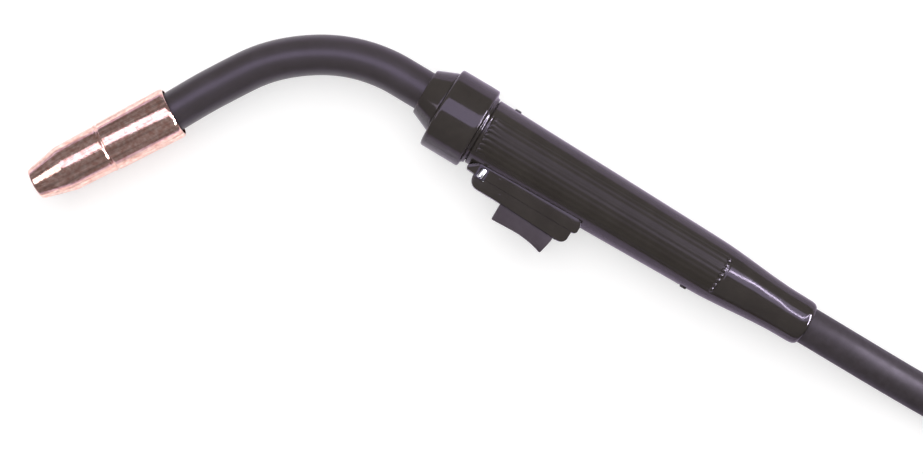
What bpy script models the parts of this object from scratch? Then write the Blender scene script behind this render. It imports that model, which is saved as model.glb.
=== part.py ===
# MIG welding torch: swan neck with slip-on copper nozzle, rotating neck held by a
# lock ring, two-shell grip with a side trigger, and a cable wound into a coil that
# ends in a central plug. The torch lies on its side: the grip runs along +X towards
# the cable, the neck bends towards -Y, and +Z points up from the ground.
# Dimensions below are millimetres; mm() turns them into metres.

import math

import bmesh
import bpy
from mathutils import Matrix, Vector

# ---------------------------------------------------------------- driving sizes
ORIGIN = (-66.491, -60.498, 0.0)  # middle of the torch's footprint, without the cord

AXIS_Z = 21.5  # height of the grip axis: the lock ring's radius
GRIP_Y = -0.45  # grip and lock ring axis
NECK_Y = 2.0  # neck axis where it enters the grip, parallel to the grip axis
SEAM = 0.15  # each shell stops this far from the seam plane

RING_R = 21.5
RING_X = (-92.0, -68.5)
GRIP_PROFILE = [  # (x, outer radius)
    (-68.1, 17.2),
    (-67.6, 17.75),
    (-40.0, 17.1),
    (0.0, 16.4),
    (32.0, 15.75),
    (65.0, 15.05),
    (70.0, 14.75),
    (80.0, 13.95),
    (92.0, 12.8),
    (104.0, 11.95),
    (116.0, 11.8),
    (118.6, 11.3),
    (120.0, 10.6),
]
WALL = 2.5
SPIGOT_X = -85.4  # front of the threaded spigot under the lock ring
SPIGOT_R = 16.4
CABLE_BORE_R = 10.05

BEND_DEG = 58.5
BEND_R = 77.5
CORNER_X = -160.5  # where the neck axis and the nozzle axis meet, at y = NECK_Y
TUBE_R = 6.0  # copper conductor tube
TUBE_BORE = 3.0
JACKET_R = 10.15
LEG_NOZZLE = 86.1  # nozzle's rear rim, measured along the nozzle axis from the corner
NOZZLE_LEN = 78.0

PIVOT = (-55.0, -23.0)  # trigger pivot
TRIGGER_DEG = 5.5

CORD_R = 9.625
COIL_C = (318.0, -107.0)
COIL_RO = 109.0  # centreline radius of the coil's outer turns
COIL_H = 38.9
PLUG_Y = COIL_C[1] - COIL_RO
PLUG_Z = 24.8

GAP = 0.3
SEG = 32

# ---------------------------------------------------------------- scene set-up
for old in list(bpy.data.objects):
    bpy.data.objects.remove(old, do_unlink=True)

TORCH = bpy.data.collections.new("mig_welding_torch")
CUTTERS = bpy.data.collections.new("cutters")
bpy.context.scene.collection.children.link(TORCH)
bpy.context.scene.collection.children.link(CUTTERS)


def mm(*v):
    return Vector([c * 0.001 for c in v])


def placed(*v):
    """A point given in the torch's drawing frame, moved so that the origin is ORIGIN."""
    return mm(v[0] - ORIGIN[0], v[1] - ORIGIN[1], v[2] - ORIGIN[2])


MATERIALS = {}


def material(name, rgb, rough, metal=0.0):
    if name not in MATERIALS:
        m = bpy.data.materials.new(name)
        m.use_nodes = True
        b = m.node_tree.nodes["Principled BSDF"]
        b.inputs["Base Color"].default_value = (*rgb, 1.0)
        b.inputs["Roughness"].default_value = rough
        b.inputs["Metallic"].default_value = metal
        m.diffuse_color = (*rgb, 1.0)
        MATERIALS[name] = m
    return MATERIALS[name]


BLACK = material("black_nylon", (0.035, 0.033, 0.037), 0.32)
SATIN = material("black_sleeve", (0.045, 0.042, 0.048), 0.5)
RUBBER = material("cable_rubber", (0.05, 0.047, 0.053), 0.6)
COPPER = material("nozzle_copper", (0.72, 0.42, 0.36), 0.22, 1.0)
TUBE_CU = material("conductor_copper", (0.7, 0.38, 0.27), 0.35, 1.0)
BRASS = material("brass", (0.72, 0.55, 0.27), 0.3, 1.0)
STEEL = material("zinc_steel", (0.72, 0.73, 0.76), 0.28, 1.0)
INSUL = material("brown_phenolic", (0.10, 0.045, 0.025), 0.5)
GREY = material("grey_plastic", (0.14, 0.14, 0.15), 0.45)
RED = material("lead_red", (0.42, 0.03, 0.03), 0.5)
WHITE = material("lead_white", (0.62, 0.62, 0.60), 0.5)
STRAP = material("strap_black", (0.03, 0.03, 0.032), 0.85)


def add(name, mesh, mat, cutter=False):
    obj = bpy.data.objects.new(name, mesh)
    if cutter:
        CUTTERS.objects.link(obj)
        obj.hide_render = True
        obj.display_type = "WIRE"
    else:
        TORCH.objects.link(obj)
        mesh.materials.append(mat)
    return obj


def frame(origin, along, side=(0, 0, 1)):
    """A matrix whose local Z runs along `along` and local X towards `side`."""
    z = Vector(along).normalized()
    x = Vector(side) - z * Vector(side).dot(z)
    x.normalize()
    y = z.cross(x)
    m = Matrix((x, y, z)).transposed().to_4x4()
    m.translation = placed(*origin)
    return m


def grip_frame(x=0.0):
    return frame((x, GRIP_Y, AXIS_Z), (1, 0, 0))


def neck_frame(x=0.0):
    return frame((x, NECK_Y, AXIS_Z), (1, 0, 0))


TH = math.radians(BEND_DEG)
LEG_DIR = Vector((-math.cos(TH), -math.sin(TH), 0.0))


def leg_point(s):
    return (CORNER_X + LEG_DIR.x * s, NECK_Y + LEG_DIR.y * s, AXIS_Z)


def leg_frame():
    return frame(leg_point(0.0), LEG_DIR)


def plug_frame():
    return frame((0.0, PLUG_Y, PLUG_Z), (1, 0, 0))


def turned(name, profile, where, mat, segs=SEG, cutter=False):
    """A closed (axial, radius) outline turned about the local Z axis of `where`."""
    area = sum(
        a[0] * b[1] - b[0] * a[1] for a, b in zip(profile, profile[1:] + profile[:1])
    )
    points = list(profile) if area > 0 else list(reversed(profile))
    mesh = bpy.data.meshes.new(name)
    bm = bmesh.new()
    ring = [bm.verts.new(mm(r, 0.0, a)) for a, r in points]
    on_axis = [r < 1e-9 for _, r in points]
    for i in range(len(ring)):
        j = (i + 1) % len(ring)
        if on_axis[i] and on_axis[j]:
            continue
        bm.edges.new((ring[i], ring[j]))
    bm.to_mesh(mesh)
    bm.free()
    obj = add(name, mesh, mat, cutter)
    obj.matrix_world = where
    screw = obj.modifiers.new("Screw", "SCREW")
    screw.axis = "Z"
    screw.angle = 2 * math.pi
    screw.steps = segs
    screw.render_steps = segs
    screw.use_merge_vertices = True
    screw.merge_threshold = 0.000005
    screw.use_smooth_shade = True
    return obj


def rod(name, start, end, radius, mat, segs=12, cutter=False):
    a, b = Vector(start), Vector(end)
    mesh = bpy.data.meshes.new(name)
    bm = bmesh.new()
    bmesh.ops.create_cone(
        bm,
        cap_ends=True,
        segments=segs,
        radius1=radius * 0.001,
        radius2=radius * 0.001,
        depth=(b - a).length * 0.001,
    )
    bm.to_mesh(mesh)
    bm.free()
    obj = add(name, mesh, mat, cutter)
    side = (0, 0, 1) if abs((b - a).normalized().z) < 0.9 else (1, 0, 0)
    obj.matrix_world = frame(tuple((a + b) / 2), tuple(b - a), side)
    return obj


def block(name, low, high, mat, bevel=0.0, cutter=False):
    mesh = bpy.data.meshes.new(name)
    bm = bmesh.new()
    bmesh.ops.create_cube(bm, size=1.0)
    size = [(h - l) * 0.001 for l, h in zip(low, high)]
    bmesh.ops.scale(bm, vec=size, verts=bm.verts)
    bm.to_mesh(mesh)
    bm.free()
    obj = add(name, mesh, mat, cutter)
    obj.location = placed(*[(l + h) / 2 for l, h in zip(low, high)])
    if bevel:
        mod = obj.modifiers.new("Bevel", "BEVEL")
        mod.width = bevel * 0.001
        mod.segments = 1
    return obj


def to_mesh(curve_obj, name, mat, cutter=False):
    """A curve object made a mesh, with its loose caps welded on."""
    bpy.context.view_layer.update()
    graph = bpy.context.evaluated_depsgraph_get()
    mesh = bpy.data.meshes.new_from_object(curve_obj.evaluated_get(graph))
    bm = bmesh.new()
    bm.from_mesh(mesh)
    bmesh.ops.remove_doubles(bm, verts=bm.verts, dist=0.000001)
    bmesh.ops.recalc_face_normals(bm, faces=bm.faces)
    bm.to_mesh(mesh)
    bm.free()
    mesh.materials.clear()
    matrix = curve_obj.matrix_world.copy()
    bpy.data.objects.remove(curve_obj, do_unlink=True)
    obj = add(name, mesh, mat, cutter)
    obj.matrix_world = matrix
    return obj


def prism(name, outlines, low_z, high_z, mat, cutter=False):
    """Flat outlines in X and Y, the first the outside and any others holes, made thick."""
    curve = bpy.data.curves.new(name, "CURVE")
    curve.dimensions = "2D"
    curve.fill_mode = "BOTH"
    curve.extrude = (high_z - low_z) * 0.0005
    for outline in outlines:
        spline = curve.splines.new("POLY")
        spline.points.add(len(outline) - 1)
        for point, (x, y) in zip(spline.points, outline):
            point.co = (
                (x - ORIGIN[0]) * 0.001,
                (y - ORIGIN[1]) * 0.001,
                0.0,
                1.0,
            )
        spline.use_cyclic_u = True
    obj = bpy.data.objects.new(name + "_outline", curve)
    bpy.context.scene.collection.objects.link(obj)
    obj.location = (0, 0, (low_z + high_z) * 0.0005)
    return to_mesh(obj, name, mat, cutter)


def swept(name, points, radius, mat, sides_quarter=2, mesh_name=None, cutter=False):
    """A tube of the given radius along the points, with flat closed ends."""
    curve = bpy.data.curves.new(name, "CURVE")
    curve.dimensions = "3D"
    curve.bevel_depth = radius * 0.001
    curve.bevel_resolution = sides_quarter
    curve.use_fill_caps = True
    curve.render_resolution_u = 0
    spline = curve.splines.new("POLY")
    spline.points.add(len(points) - 1)
    for point, co in zip(spline.points, points):
        point.co = (*placed(*co), 1.0)
    obj = bpy.data.objects.new(name + "_path", curve)
    bpy.context.scene.collection.objects.link(obj)
    return to_mesh(obj, name, mat, cutter)


def combine(obj, other, operation="DIFFERENCE"):
    mod = obj.modifiers.new(operation.title() + "_" + other.name, "BOOLEAN")
    mod.operation = operation
    mod.solver = "EXACT"
    mod.object = other
    return obj


def smooth01(u):
    u = min(1.0, max(0.0, u))
    return u * u * u * (u * (6 * u - 15) + 10)


def arc(cx, cy, r, a0, a1, n):
    return [
        (
            cx + r * math.cos(math.radians(a0 + (a1 - a0) * i / n)),
            cy + r * math.sin(math.radians(a0 + (a1 - a0) * i / n)),
        )
        for i in range(n + 1)
    ]


# ---------------------------------------------------------------- grip shells
def grip_radius(x):
    for (x0, r0), (x1, r1) in zip(GRIP_PROFILE, GRIP_PROFILE[1:]):
        if x <= x1:
            return r0 + (r1 - r0) * (x - x0) / (x1 - x0)
    return GRIP_PROFILE[-1][1]


def shell_profile():
    outer = [(SPIGOT_X, SPIGOT_R - 0.5), (SPIGOT_X + 0.6, SPIGOT_R)]
    outer += [(GRIP_PROFILE[0][0], SPIGOT_R)] + GRIP_PROFILE
    inner = [(120.0, CABLE_BORE_R), (93.0, CABLE_BORE_R)]
    for x in (78.0, 65.0, 32.0, -60.0):
        inner.append((x, grip_radius(x) - WALL))
    inner += [(-72.0, 13.6), (SPIGOT_X + 3.0, 13.6), (SPIGOT_X + 3.0, 13.2), (SPIGOT_X, 13.2)]
    return outer + inner


# (x, y, seat depth) of the screws that close the grip, driven from the lower side
GRIP_SCREWS = [(-50.0, 11.6), (14.0, 10.2), (14.0, -11.1), (62.0, 9.3)]
SCREW_R, HEAD_R = 1.25, 2.5

left = turned("handle_shell_left", shell_profile(), grip_frame(), BLACK)
right = turned("handle_shell_right", shell_profile(), grip_frame(), BLACK)
above = block(
    "cut_above_seam", (-100, -40, AXIS_Z - SEAM), (130, 40, AXIS_Z + 40), None, cutter=True
)
below = block(
    "cut_below_seam", (-100, -40, AXIS_Z - 40), (130, 40, AXIS_Z + SEAM), None, cutter=True
)
pocket = prism(
    "cut_trigger_pocket",
    [
        [
            (-66.1, -40.0),
            (-66.1, -18.2),
            (-60.8, -15.2),
            (-60.8, -11.0),
            (-1.6, -11.0),
            (-1.6, -40.0),
        ]
    ],
    AXIS_Z - 9.35,
    AXIS_Z + 9.35,
    None,
    cutter=True,
)
for n, (x, y) in enumerate(GRIP_SCREWS, 1):
    reach = math.sqrt((grip_radius(x) - 1.1) ** 2 - (abs(y - GRIP_Y)) ** 2)
    boss = rod(
        f"boss_upper_{n}", (x, y, AXIS_Z + 0.05), (x, y, AXIS_Z + reach), 2.6, None, 10, True
    )
    combine(left, boss, "UNION")
    boss = rod(
        f"boss_lower_{n}", (x, y, AXIS_Z - reach), (x, y, AXIS_Z - 0.05), 2.6, None, 10, True
    )
    combine(right, boss, "UNION")
for n, (x, y, sy) in enumerate(((-57.9, 0.0, 1), (57.6, 0.0, -1)), 1):
    r = grip_radius(x)
    edge = GRIP_Y + sy * r
    lug = block(
        f"seam_lug_{n}",
        (x - 1.7, min(edge - sy * 1.2, edge + sy * 0.75), AXIS_Z - 0.2),
        (x + 1.7, max(edge - sy * 1.2, edge + sy * 0.75), AXIS_Z + 1.6),
        None,
        cutter=True,
    )
    combine(left, lug, "UNION")
combine(left, below)
combine(right, above)
combine(left, pocket)
combine(right, pocket)
for n, (x, y) in enumerate(GRIP_SCREWS, 1):
    hole = rod(
        f"pilot_{n}", (x, y, AXIS_Z - 1), (x, y, AXIS_Z + 5.4), SCREW_R + GAP, None, 10, True
    )
    combine(left, hole)
    hole = rod(
        f"clear_{n}", (x, y, AXIS_Z - 30), (x, y, AXIS_Z + 1), SCREW_R + GAP, None, 10, True
    )
    combine(right, hole)
    seat = rod(
        f"seat_{n}", (x, y, AXIS_Z - 30), (x, y, AXIS_Z - 4.3), HEAD_R + GAP, None, 12, True
    )
    combine(right, seat)
    # the screw: a turned shank and pan head with a flat underside
    turned(
        f"handle_screw_{n}",
        [
            (0.0, 0.0),
            (0.0, HEAD_R),
            (1.5, HEAD_R),
            (1.5, SCREW_R),
            (11.0, SCREW_R),
            (11.0, 0.0),
        ],
        frame((x, y, AXIS_Z - 6.1), (0, 0, 1), (1, 0, 0)),
        STEEL,
        12,
    )

# ---------------------------------------------------------------- lock ring
turned(
    "lock_ring",
    [
        (-92.0, 12.5),
        (-92.0, RING_R - 0.7),
        (-91.3, RING_R),
        (-72.9, RING_R),
        (-72.2, 21.2),
        (-69.0, 18.9),
        (-68.5, 18.2),
        (-68.5, 16.9),
        (-88.9, 16.9),
        (-88.9, 12.5),
    ],
    grip_frame(),
    BLACK,
    36,
)

# ---------------------------------------------------------------- neck
TANGENT = BEND_R * math.tan(TH / 2)


def neck_path(start_x, end_leg, n=10):
    """Points from x = start_x on the neck axis, round the bend, to end_leg on the nozzle axis."""
    points = [(start_x, NECK_Y, AXIS_Z)]
    x0 = CORNER_X + TANGENT
    cx, cy = x0, NECK_Y - BEND_R
    for i in range(n + 1):
        a = math.radians(90.0) + TH * i / n
        points.append((cx + BEND_R * math.cos(a), cy + BEND_R * math.sin(a), AXIS_Z))
    points.append(leg_point(end_leg))
    return points


def tube(name, start_x, end_leg, r_out, r_in, mat, quarter=2):
    body = swept(name, neck_path(start_x, end_leg), r_out, mat, quarter)
    core = swept(
        name + "_bore", neck_path(start_x + 5, end_leg + 5), r_in, None, quarter, cutter=True
    )
    combine(body, core)
    return body


conductor = tube("conductor_tube", -58.5, 113.0, TUBE_R, TUBE_BORE, TUBE_CU, 3)
groove = turned(
    "cut_seal_groove",
    [(-71.0, 5.0), (-71.0, 8.0), (-69.0, 8.0), (-69.0, 5.0)],
    neck_frame(),
    None,
    20,
    True,
)
combine(conductor, groove)
tube("neck_jacket", -99.2, 90.8, JACKET_R, TUBE_R + 0.4, SATIN, 3)
swept("wire_liner", neck_path(-57.5, 120.5), 1.8, STEEL, 1)

turned(
    "neck_seal",
    [
        (-70.0 + 0.5 * math.cos(math.radians(a)), 5.85 + 0.4 * math.sin(math.radians(a)))
        for a in range(0, 360, 90)
    ],
    neck_frame(),
    RUBBER,
    16,
)
turned(
    "neck_thrust_washer",
    [(-88.4, TUBE_R + 0.4), (-88.4, 13.0), (-86.1, 13.0), (-86.1, TUBE_R + 0.4)],
    neck_frame(),
    BRASS,
    24,
)
turned(
    "neck_collar",
    [
        (-103.0, JACKET_R + 0.35),
        (-103.0, 11.9),
        (-102.6, 12.25),
        (-92.8, 16.4),
        (-92.3, 16.4),
        (-92.3, 9.2),
        (-88.9, 9.2),
        (-88.9, TUBE_R + 0.4),
        (-98.8, TUBE_R + 0.4),
        (-98.8, JACKET_R + 0.35),
    ],
    neck_frame(),
    BLACK,
    24,
)
turned(
    "neck_socket",
    [
        (-85.2, 6.6),
        (-85.2, 9.6),
        (-84.6, 10.2),
        (-56.6, 10.2),
        (-56.0, 9.6),
        (-56.0, 5.5),
        (-46.0, 5.5),
        (-46.0, 2.4),
        (-57.2, 2.4),
        (-57.2, 6.6),
    ],
    neck_frame(),
    BRASS,
    24,
)
turned(
    "socket_clamp_band",
    [(-68.0, 10.6), (-68.0, 11.6), (-60.0, 11.6), (-60.0, 10.6)],
    neck_frame(),
    STEEL,
    24,
)

# ---------------------------------------------------------------- nozzle end
LN = LEG_NOZZLE
turned(
    "nozzle_insulator",
    [
        (91.2, TUBE_R + 0.4),
        (91.2, 11.2),
        (97.9, 11.2),
        (97.9, 10.0),
        (101.2, 10.0),
        (101.2, 11.2),
        (107.4, 11.2),
        (108.2, 10.4),
        (108.2, TUBE_R + 0.4),
    ],
    leg_frame(),
    INSUL,
    24,
)
turned(
    "nozzle_retaining_ring",
    [(98.2, 10.4), (98.2, 11.3), (98.7, 11.7), (100.4, 11.7), (100.9, 11.3), (100.9, 10.4)],
    leg_frame(),
    STEEL,
    24,
)
diffuser = turned(
    "gas_diffuser",
    [
        (108.6, TUBE_R + 0.4),
        (108.6, 8.6),
        (112.0, 8.6),
        (112.0, 7.6),
        (124.0, 7.6),
        (127.5, 5.6),
        (127.5, 3.3),
        (113.6, 3.3),
        (113.6, TUBE_R + 0.4),
    ],
    leg_frame(),
    BRASS,
    16,
)
for n in range(3):
    a = math.radians(30 + 60 * n)
    u = Vector((0, 0, 1)) * math.cos(a) + LEG_DIR.cross(Vector((0, 0, 1))) * math.sin(a)
    p = Vector(leg_point(118.5))
    port = rod(
        f"cut_gas_port_{n + 1}", tuple(p - u * 12), tuple(p + u * 12), 1.0, None, 8, True
    )
    combine(diffuser, port)
turned(
    "contact_tip",
    [
        (121.0, 0.7),
        (121.0, 2.95),
        (127.9, 2.95),
        (127.9, 4.0),
        (154.5, 4.0),
        (158.0, 2.6),
        (158.0, 0.7),
    ],
    leg_frame(),
    TUBE_CU,
    16,
)
turned(
    "nozzle",
    [
        (LN, 12.1),
        (LN, 13.2),
        (LN + 0.5, 13.5),
        (LN + 36.9, 13.05),
        (LN + 37.2, 12.3),
        (LN + 38.0, 12.3),
        (LN + 38.3, 12.7),
        (LN + 39.6, 12.5),
        (LN + 61.0, 12.1),
        (LN + 77.6, 8.15),
        (LN + NOZZLE_LEN, 7.9),
        (LN + NOZZLE_LEN, 6.2),
        (LN + 63.0, 9.9),
        (LN + 40.5, 10.7),
        (LN + 35.5, 12.1),
    ],
    leg_frame(),
    COPPER,
    32,
)

# ---------------------------------------------------------------- trigger group
flange = prism(
    "trigger_housing",
    [
        [
            (-65.7, -18.4),
            (-65.7, -19.9),
            (-65.0, -20.7),
            (-61.0, -21.0),
            (-3.2, -21.0),
            (-2.1, -19.8),
            (-2.1, -12.6),
            (-60.4, -12.6),
            (-60.4, -15.4),
        ]
    ],
    AXIS_Z - 9.0,
    AXIS_Z + 9.0,
    BLACK,
)
lower = prism(
    "add_housing_lower",
    [
        [(-61.0, -20.0)]
        + arc(-55.8, -22.0, 5.1, 180, 268, 6)
        + [(-42.5, -27.1), (-9.6, -28.3)]
        + arc(-8.0, -24.8, 3.4, 275, 358, 5)
        + [(-4.5, -20.0)]
    ],
    AXIS_Z - 8.0,
    AXIS_Z + 8.0,
    None,
    True,
)
cavity = prism(
    "cut_housing_cavity",
    [[(-58.9, -10.0), (-58.9, -25.8), (-42.8, -25.8), (-42.8, -26.3), (-9.3, -26.3), (-6.0, -25.0), (-6.0, -10.0)]],
    AXIS_Z - 6.3,
    AXIS_Z + 6.3,
    None,
    True,
)
slot = block(
    "cut_lever_slot", (-42.6, -35, AXIS_Z - 6.3), (-9.3, -24, AXIS_Z + 6.3), None, cutter=True
)
notch = block(
    "cut_screw_notch",
    (-60.2, -22.0, AXIS_Z + 6.85),
    (-54.9, -16.0, AXIS_Z + 10.5),
    None,
    cutter=True,
)
pin_hole = rod(
    "cut_pivot_hole",
    (*PIVOT, AXIS_Z - 12.0),
    (*PIVOT, AXIS_Z + 7.2),
    1.25 + GAP,
    None,
    12,
    True,
)
combine(flange, lower, "UNION")
combine(flange, cavity)
combine(flange, slot)
combine(flange, notch)
combine(flange, pin_hole)

turned(
    "trigger_housing_screw",
    [(-21.6, 0.0), (-21.6, 1.5), (-21.2, 1.85), (-16.4, 1.85), (-16.4, 0.0)],
    frame((-57.5, 0.0, AXIS_Z + 9.05), (0, 1, 0)),
    STEEL,
    16,
)
rod("trigger_pivot_pin", (*PIVOT, AXIS_Z - 7.7), (*PIVOT, AXIS_Z + 6.9), 1.25, STEEL, 12)
lever = prism(
    "trigger_lever",
    [
        arc(PIVOT[0], PIVOT[1], 2.5, 80, 270, 8)
        + [(-50.0, -24.6), (-41.95, -24.8), (-41.95, -35.2)]
        + [(-41.6, -35.95), (-38.0, -35.75), (-34.0, -35.55), (-30.0, -35.4)]
        + [(-26.0, -35.35), (-22.0, -35.75), (-18.0, -36.4), (-15.0, -37.15), (-13.1, -37.85)]
        + [(-12.5, -37.5), (-10.9, -30.0), (-11.3, -20.0), (-12.0, -19.5), (-52.0, -19.5), (-53.5, -20.2)]
    ],
    AXIS_Z - 5.8,
    AXIS_Z + 5.8,
    GREY,
)
lever_hole = rod(
    "cut_lever_hole",
    (*PIVOT, AXIS_Z - 9.0),
    (*PIVOT, AXIS_Z + 9.0),
    1.25 + GAP,
    None,
    12,
    True,
)
combine(lever, lever_hole)

switch = block(
    "switch_body", (-50.0, -14.3, AXIS_Z - 5.7), (-26.0, -7.4, AXIS_Z + 5.7), GREY
)
bore = rod("cut_plunger_bore", (-38.0, -16.0, AXIS_Z), (-38.0, -10.0, AXIS_Z), 1.75, None, 12, True)
combine(switch, bore)
rod("switch_plunger", (-38.0, -19.15, AXIS_Z), (-38.0, -12.4, AXIS_Z), 1.4, RED, 12)
for name, dz, mat in (("a", 2.6, RED), ("b", -2.6, WHITE)):
    block(
        f"switch_terminal_{name}",
        (-25.7, -10.9, AXIS_Z + dz - 1.2),
        (-20.0, -10.3, AXIS_Z + dz + 1.2),
        BRASS,
    )
    swept(
        f"switch_lead_{name}",
        [
            (-19.7, -10.6, AXIS_Z + dz),
            (-10.0, -10.0, AXIS_Z + dz),
            (0.0, -8.4, AXIS_Z + dz),
            (10.0, -7.5, AXIS_Z + dz),
            (30.0, -7.3, AXIS_Z + dz),
            (60.0, -7.3, AXIS_Z + dz),
            (83.0, -7.3, AXIS_Z + dz),
        ],
        0.75,
        mat,
        1,
    )

turns, per_turn = 3.5, 9
spring_points = []
for i in range(int(turns * per_turn) + 1):
    a = 2 * math.pi * i / per_turn
    u = i / (turns * per_turn)
    spring_points.append(
        (-47.3 + 1.7 * math.cos(a), -18.85 + 3.9 * u, AXIS_Z + 1.7 * math.sin(a))
    )
swept("trigger_spring", spring_points, 0.28, STEEL, 0)

# ---------------------------------------------------------------- inside the grip
swept(
    "cable_core",
    [
        (-45.7, NECK_Y, AXIS_Z),
        (-30.0, 1.8, AXIS_Z),
        (-5.0, 0.7, AXIS_Z),
        (20.0, GRIP_Y, AXIS_Z),
        (50.0, GRIP_Y, AXIS_Z),
        (90.0, GRIP_Y, AXIS_Z),
    ],
    5.4,
    RUBBER,
    2,
)
turned(
    "cable_crimp",
    [
        (84.0, 5.85),
        (84.0, 7.2),
        (89.5, 9.2),
        (97.7, 9.2),
        (97.7, 0.0),
        (90.4, 0.0),
        (90.4, 5.85),
    ],
    grip_frame(),
    STEEL,
    20,
)

# ---------------------------------------------------------------- cord
LEAD_X = (98.0, COIL_C[0] - 66.6)


def lead_point(x):
    y_end = COIL_C[1] + COIL_RO
    return (
        x,
        GRIP_Y + (y_end - GRIP_Y) * smooth01((x - 121.0) / 179.0),
        AXIS_Z - (AXIS_Z - CORD_R - 0.55) * smooth01((x - 121.0) / 90.0),
    )


lead = [lead_point(x) for x in (98.0, 110.0, 121.0)]
steps = 14
lead += [
    lead_point(121.0 + (LEAD_X[1] - 121.0) * i / steps) for i in range(1, steps + 1)
]
swept("cable_lead", lead, CORD_R, RUBBER, 3)

coil = turned(
    "cable_coil",
    [
        (0.0, COIL_RO - 49.2),
        (0.0, COIL_RO + 9.9),
        (COIL_H, COIL_RO + 9.9),
        (COIL_H, COIL_RO - 49.2),
    ],
    frame((*COIL_C, 0.0), (0, 0, 1), (1, 0, 0)),
    RUBBER,
    40,
)
for name, angle in (("a", 180.0), ("b", 20.0)):
    a = math.radians(angle)
    d = Vector((math.cos(a), math.sin(a), 0))
    r0, r1 = COIL_RO - 49.2, COIL_RO + 9.9
    mid = (r0 + r1) / 2
    # a strap round the coil's section: a frame outline drawn upright, then turned into place
    curve = bpy.data.curves.new("strap", "CURVE")
    curve.dimensions = "2D"
    curve.fill_mode = "BOTH"
    curve.extrude = 0.0065
    half = (r1 - r0) / 2
    for grow in (1.5, 0.6):
        w, low, high = half + grow, 1.35 - grow, COIL_H - 0.3 + grow
        if grow == 1.5:
            low = 0.2
        else:
            low = 1.1
        corners = [(-w, low), (w, low), (w, high), (-w, high)]
        spline = curve.splines.new("POLY")
        spline.points.add(3)
        for point, (x, z) in zip(spline.points, corners):
            point.co = (x * 0.001, z * 0.001, 0.0, 1.0)
        spline.use_cyclic_u = True
    strap = bpy.data.objects.new("strap_outline", curve)
    bpy.context.scene.collection.objects.link(strap)
    m = Matrix((d, Vector((0, 0, 1)), d.cross(Vector((0, 0, 1))))).transposed().to_4x4()
    m.translation = placed(COIL_C[0] + d.x * mid, COIL_C[1] + d.y * mid, 0.0)
    strap.matrix_world = m
    to_mesh(strap, f"coil_strap_{name}", STRAP)
    # the shallow groove under and over the coil that the strap lies in
    mesh = bpy.data.meshes.new(f"cut_strap_{name}")
    bm = bmesh.new()
    bmesh.ops.create_cube(bm, size=1.0)
    bmesh.ops.scale(bm, vec=mm(80.0, 13.8, 2.8), verts=bm.verts)
    bm.to_mesh(mesh)
    bm.free()
    cut = add(f"cut_strap_{name}", mesh, None, True)
    cut.matrix_world = Matrix.Translation(
        placed(COIL_C[0] + d.x * mid, COIL_C[1] + d.y * mid, 0.0)
    ) @ Matrix.Rotation(a, 4, "Z")
    combine(coil, cut)

# ---------------------------------------------------------------- central plug
turned(
    "plug_strain_relief",
    [
        (246.0, 10.1),
        (246.0, 11.4),
        (244.8, 12.0),
        (200.0, 15.4),
        (186.4, 15.4),
        (186.4, 6.0),
        (206.0, 6.0),
        (206.0, 10.1),
    ],
    plug_frame(),
    RUBBER,
    24,
)
housing = turned(
    "plug_housing",
    [
        (186.0, 10.0),
        (186.0, 17.0),
        (182.0, 19.6),
        (172.0, 21.0),
        (150.0, 21.6),
        (146.0, 24.6),
        (131.0, 24.6),
        (128.0, 22.6),
        (128.0, 12.6),
        (132.0, 12.6),
        (132.0, 17.6),
        (180.0, 17.6),
        (180.0, 10.0),
    ],
    plug_frame(),
    BLACK,
    24,
)
for n, (x, z) in enumerate(((160.0, 1), (160.0, -1)), 1):
    cut = rod(
        f"cut_plug_screw_{n}",
        (x, PLUG_Y, PLUG_Z + z * 12.0),
        (x, PLUG_Y, PLUG_Z + z * 30.0),
        1.9,
        None,
        12,
        True,
    )
    combine(housing, cut)
    rod(
        f"plug_housing_screw_{n}",
        (x, PLUG_Y, PLUG_Z + z * 9.5),
        (x, PLUG_Y, PLUG_Z + z * 21.1),
        1.6,
        STEEL,
        12,
    )
body = turned(
    "plug_body",
    [
        (104.0, 0.0),
        (104.0, 13.2),
        (104.6, 13.8),
        (118.6, 13.8),
        (118.6, 18.6),
        (122.4, 18.6),
        (122.4, 11.4),
        (130.0, 11.4),
        (134.0, 9.0),
        (178.0, 9.0),
        (178.0, 0.0),
    ],
    plug_frame(),
    BRASS,
    24,
)
turned(
    "hand_nut",
    [
        (99.0, 19.7),
        (99.0, 22.6),
        (100.0, 23.6),
        (126.6, 23.6),
        (127.5, 22.7),
        (127.5, 12.0),
        (123.0, 12.0),
        (123.0, 19.7),
    ],
    plug_frame(),
    BLACK,
    24,
)
face = turned(
    "plug_insulator",
    [(101.4, 5.8), (101.4, 12.8), (101.9, 13.4), (103.7, 13.4), (103.7, 5.8)],
    plug_frame(),
    INSUL,
    24,
)
turned(
    "gas_nipple",
    [
        (76.0, 1.6),
        (76.0, 4.6),
        (77.0, 5.4),
        (83.0, 5.4),
        (83.0, 4.4),
        (85.6, 4.4),
        (85.6, 5.4),
        (103.7, 5.4),
        (103.7, 1.6),
    ],
    plug_frame(),
    BRASS,
    20,
)
turned(
    "nipple_seal",
    [
        (84.3 + 0.8 * math.cos(math.radians(a)), 5.4 + 0.62 * math.sin(math.radians(a)))
        for a in range(0, 360, 90)
    ],
    plug_frame(),
    RUBBER,
    16,
)
turned(
    "liner_nut",
    [(71.5, 1.2), (71.5, 3.6), (72.2, 4.2), (75.7, 4.2), (75.7, 1.2)],
    plug_frame(),
    STEEL,
    6,
)
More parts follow.
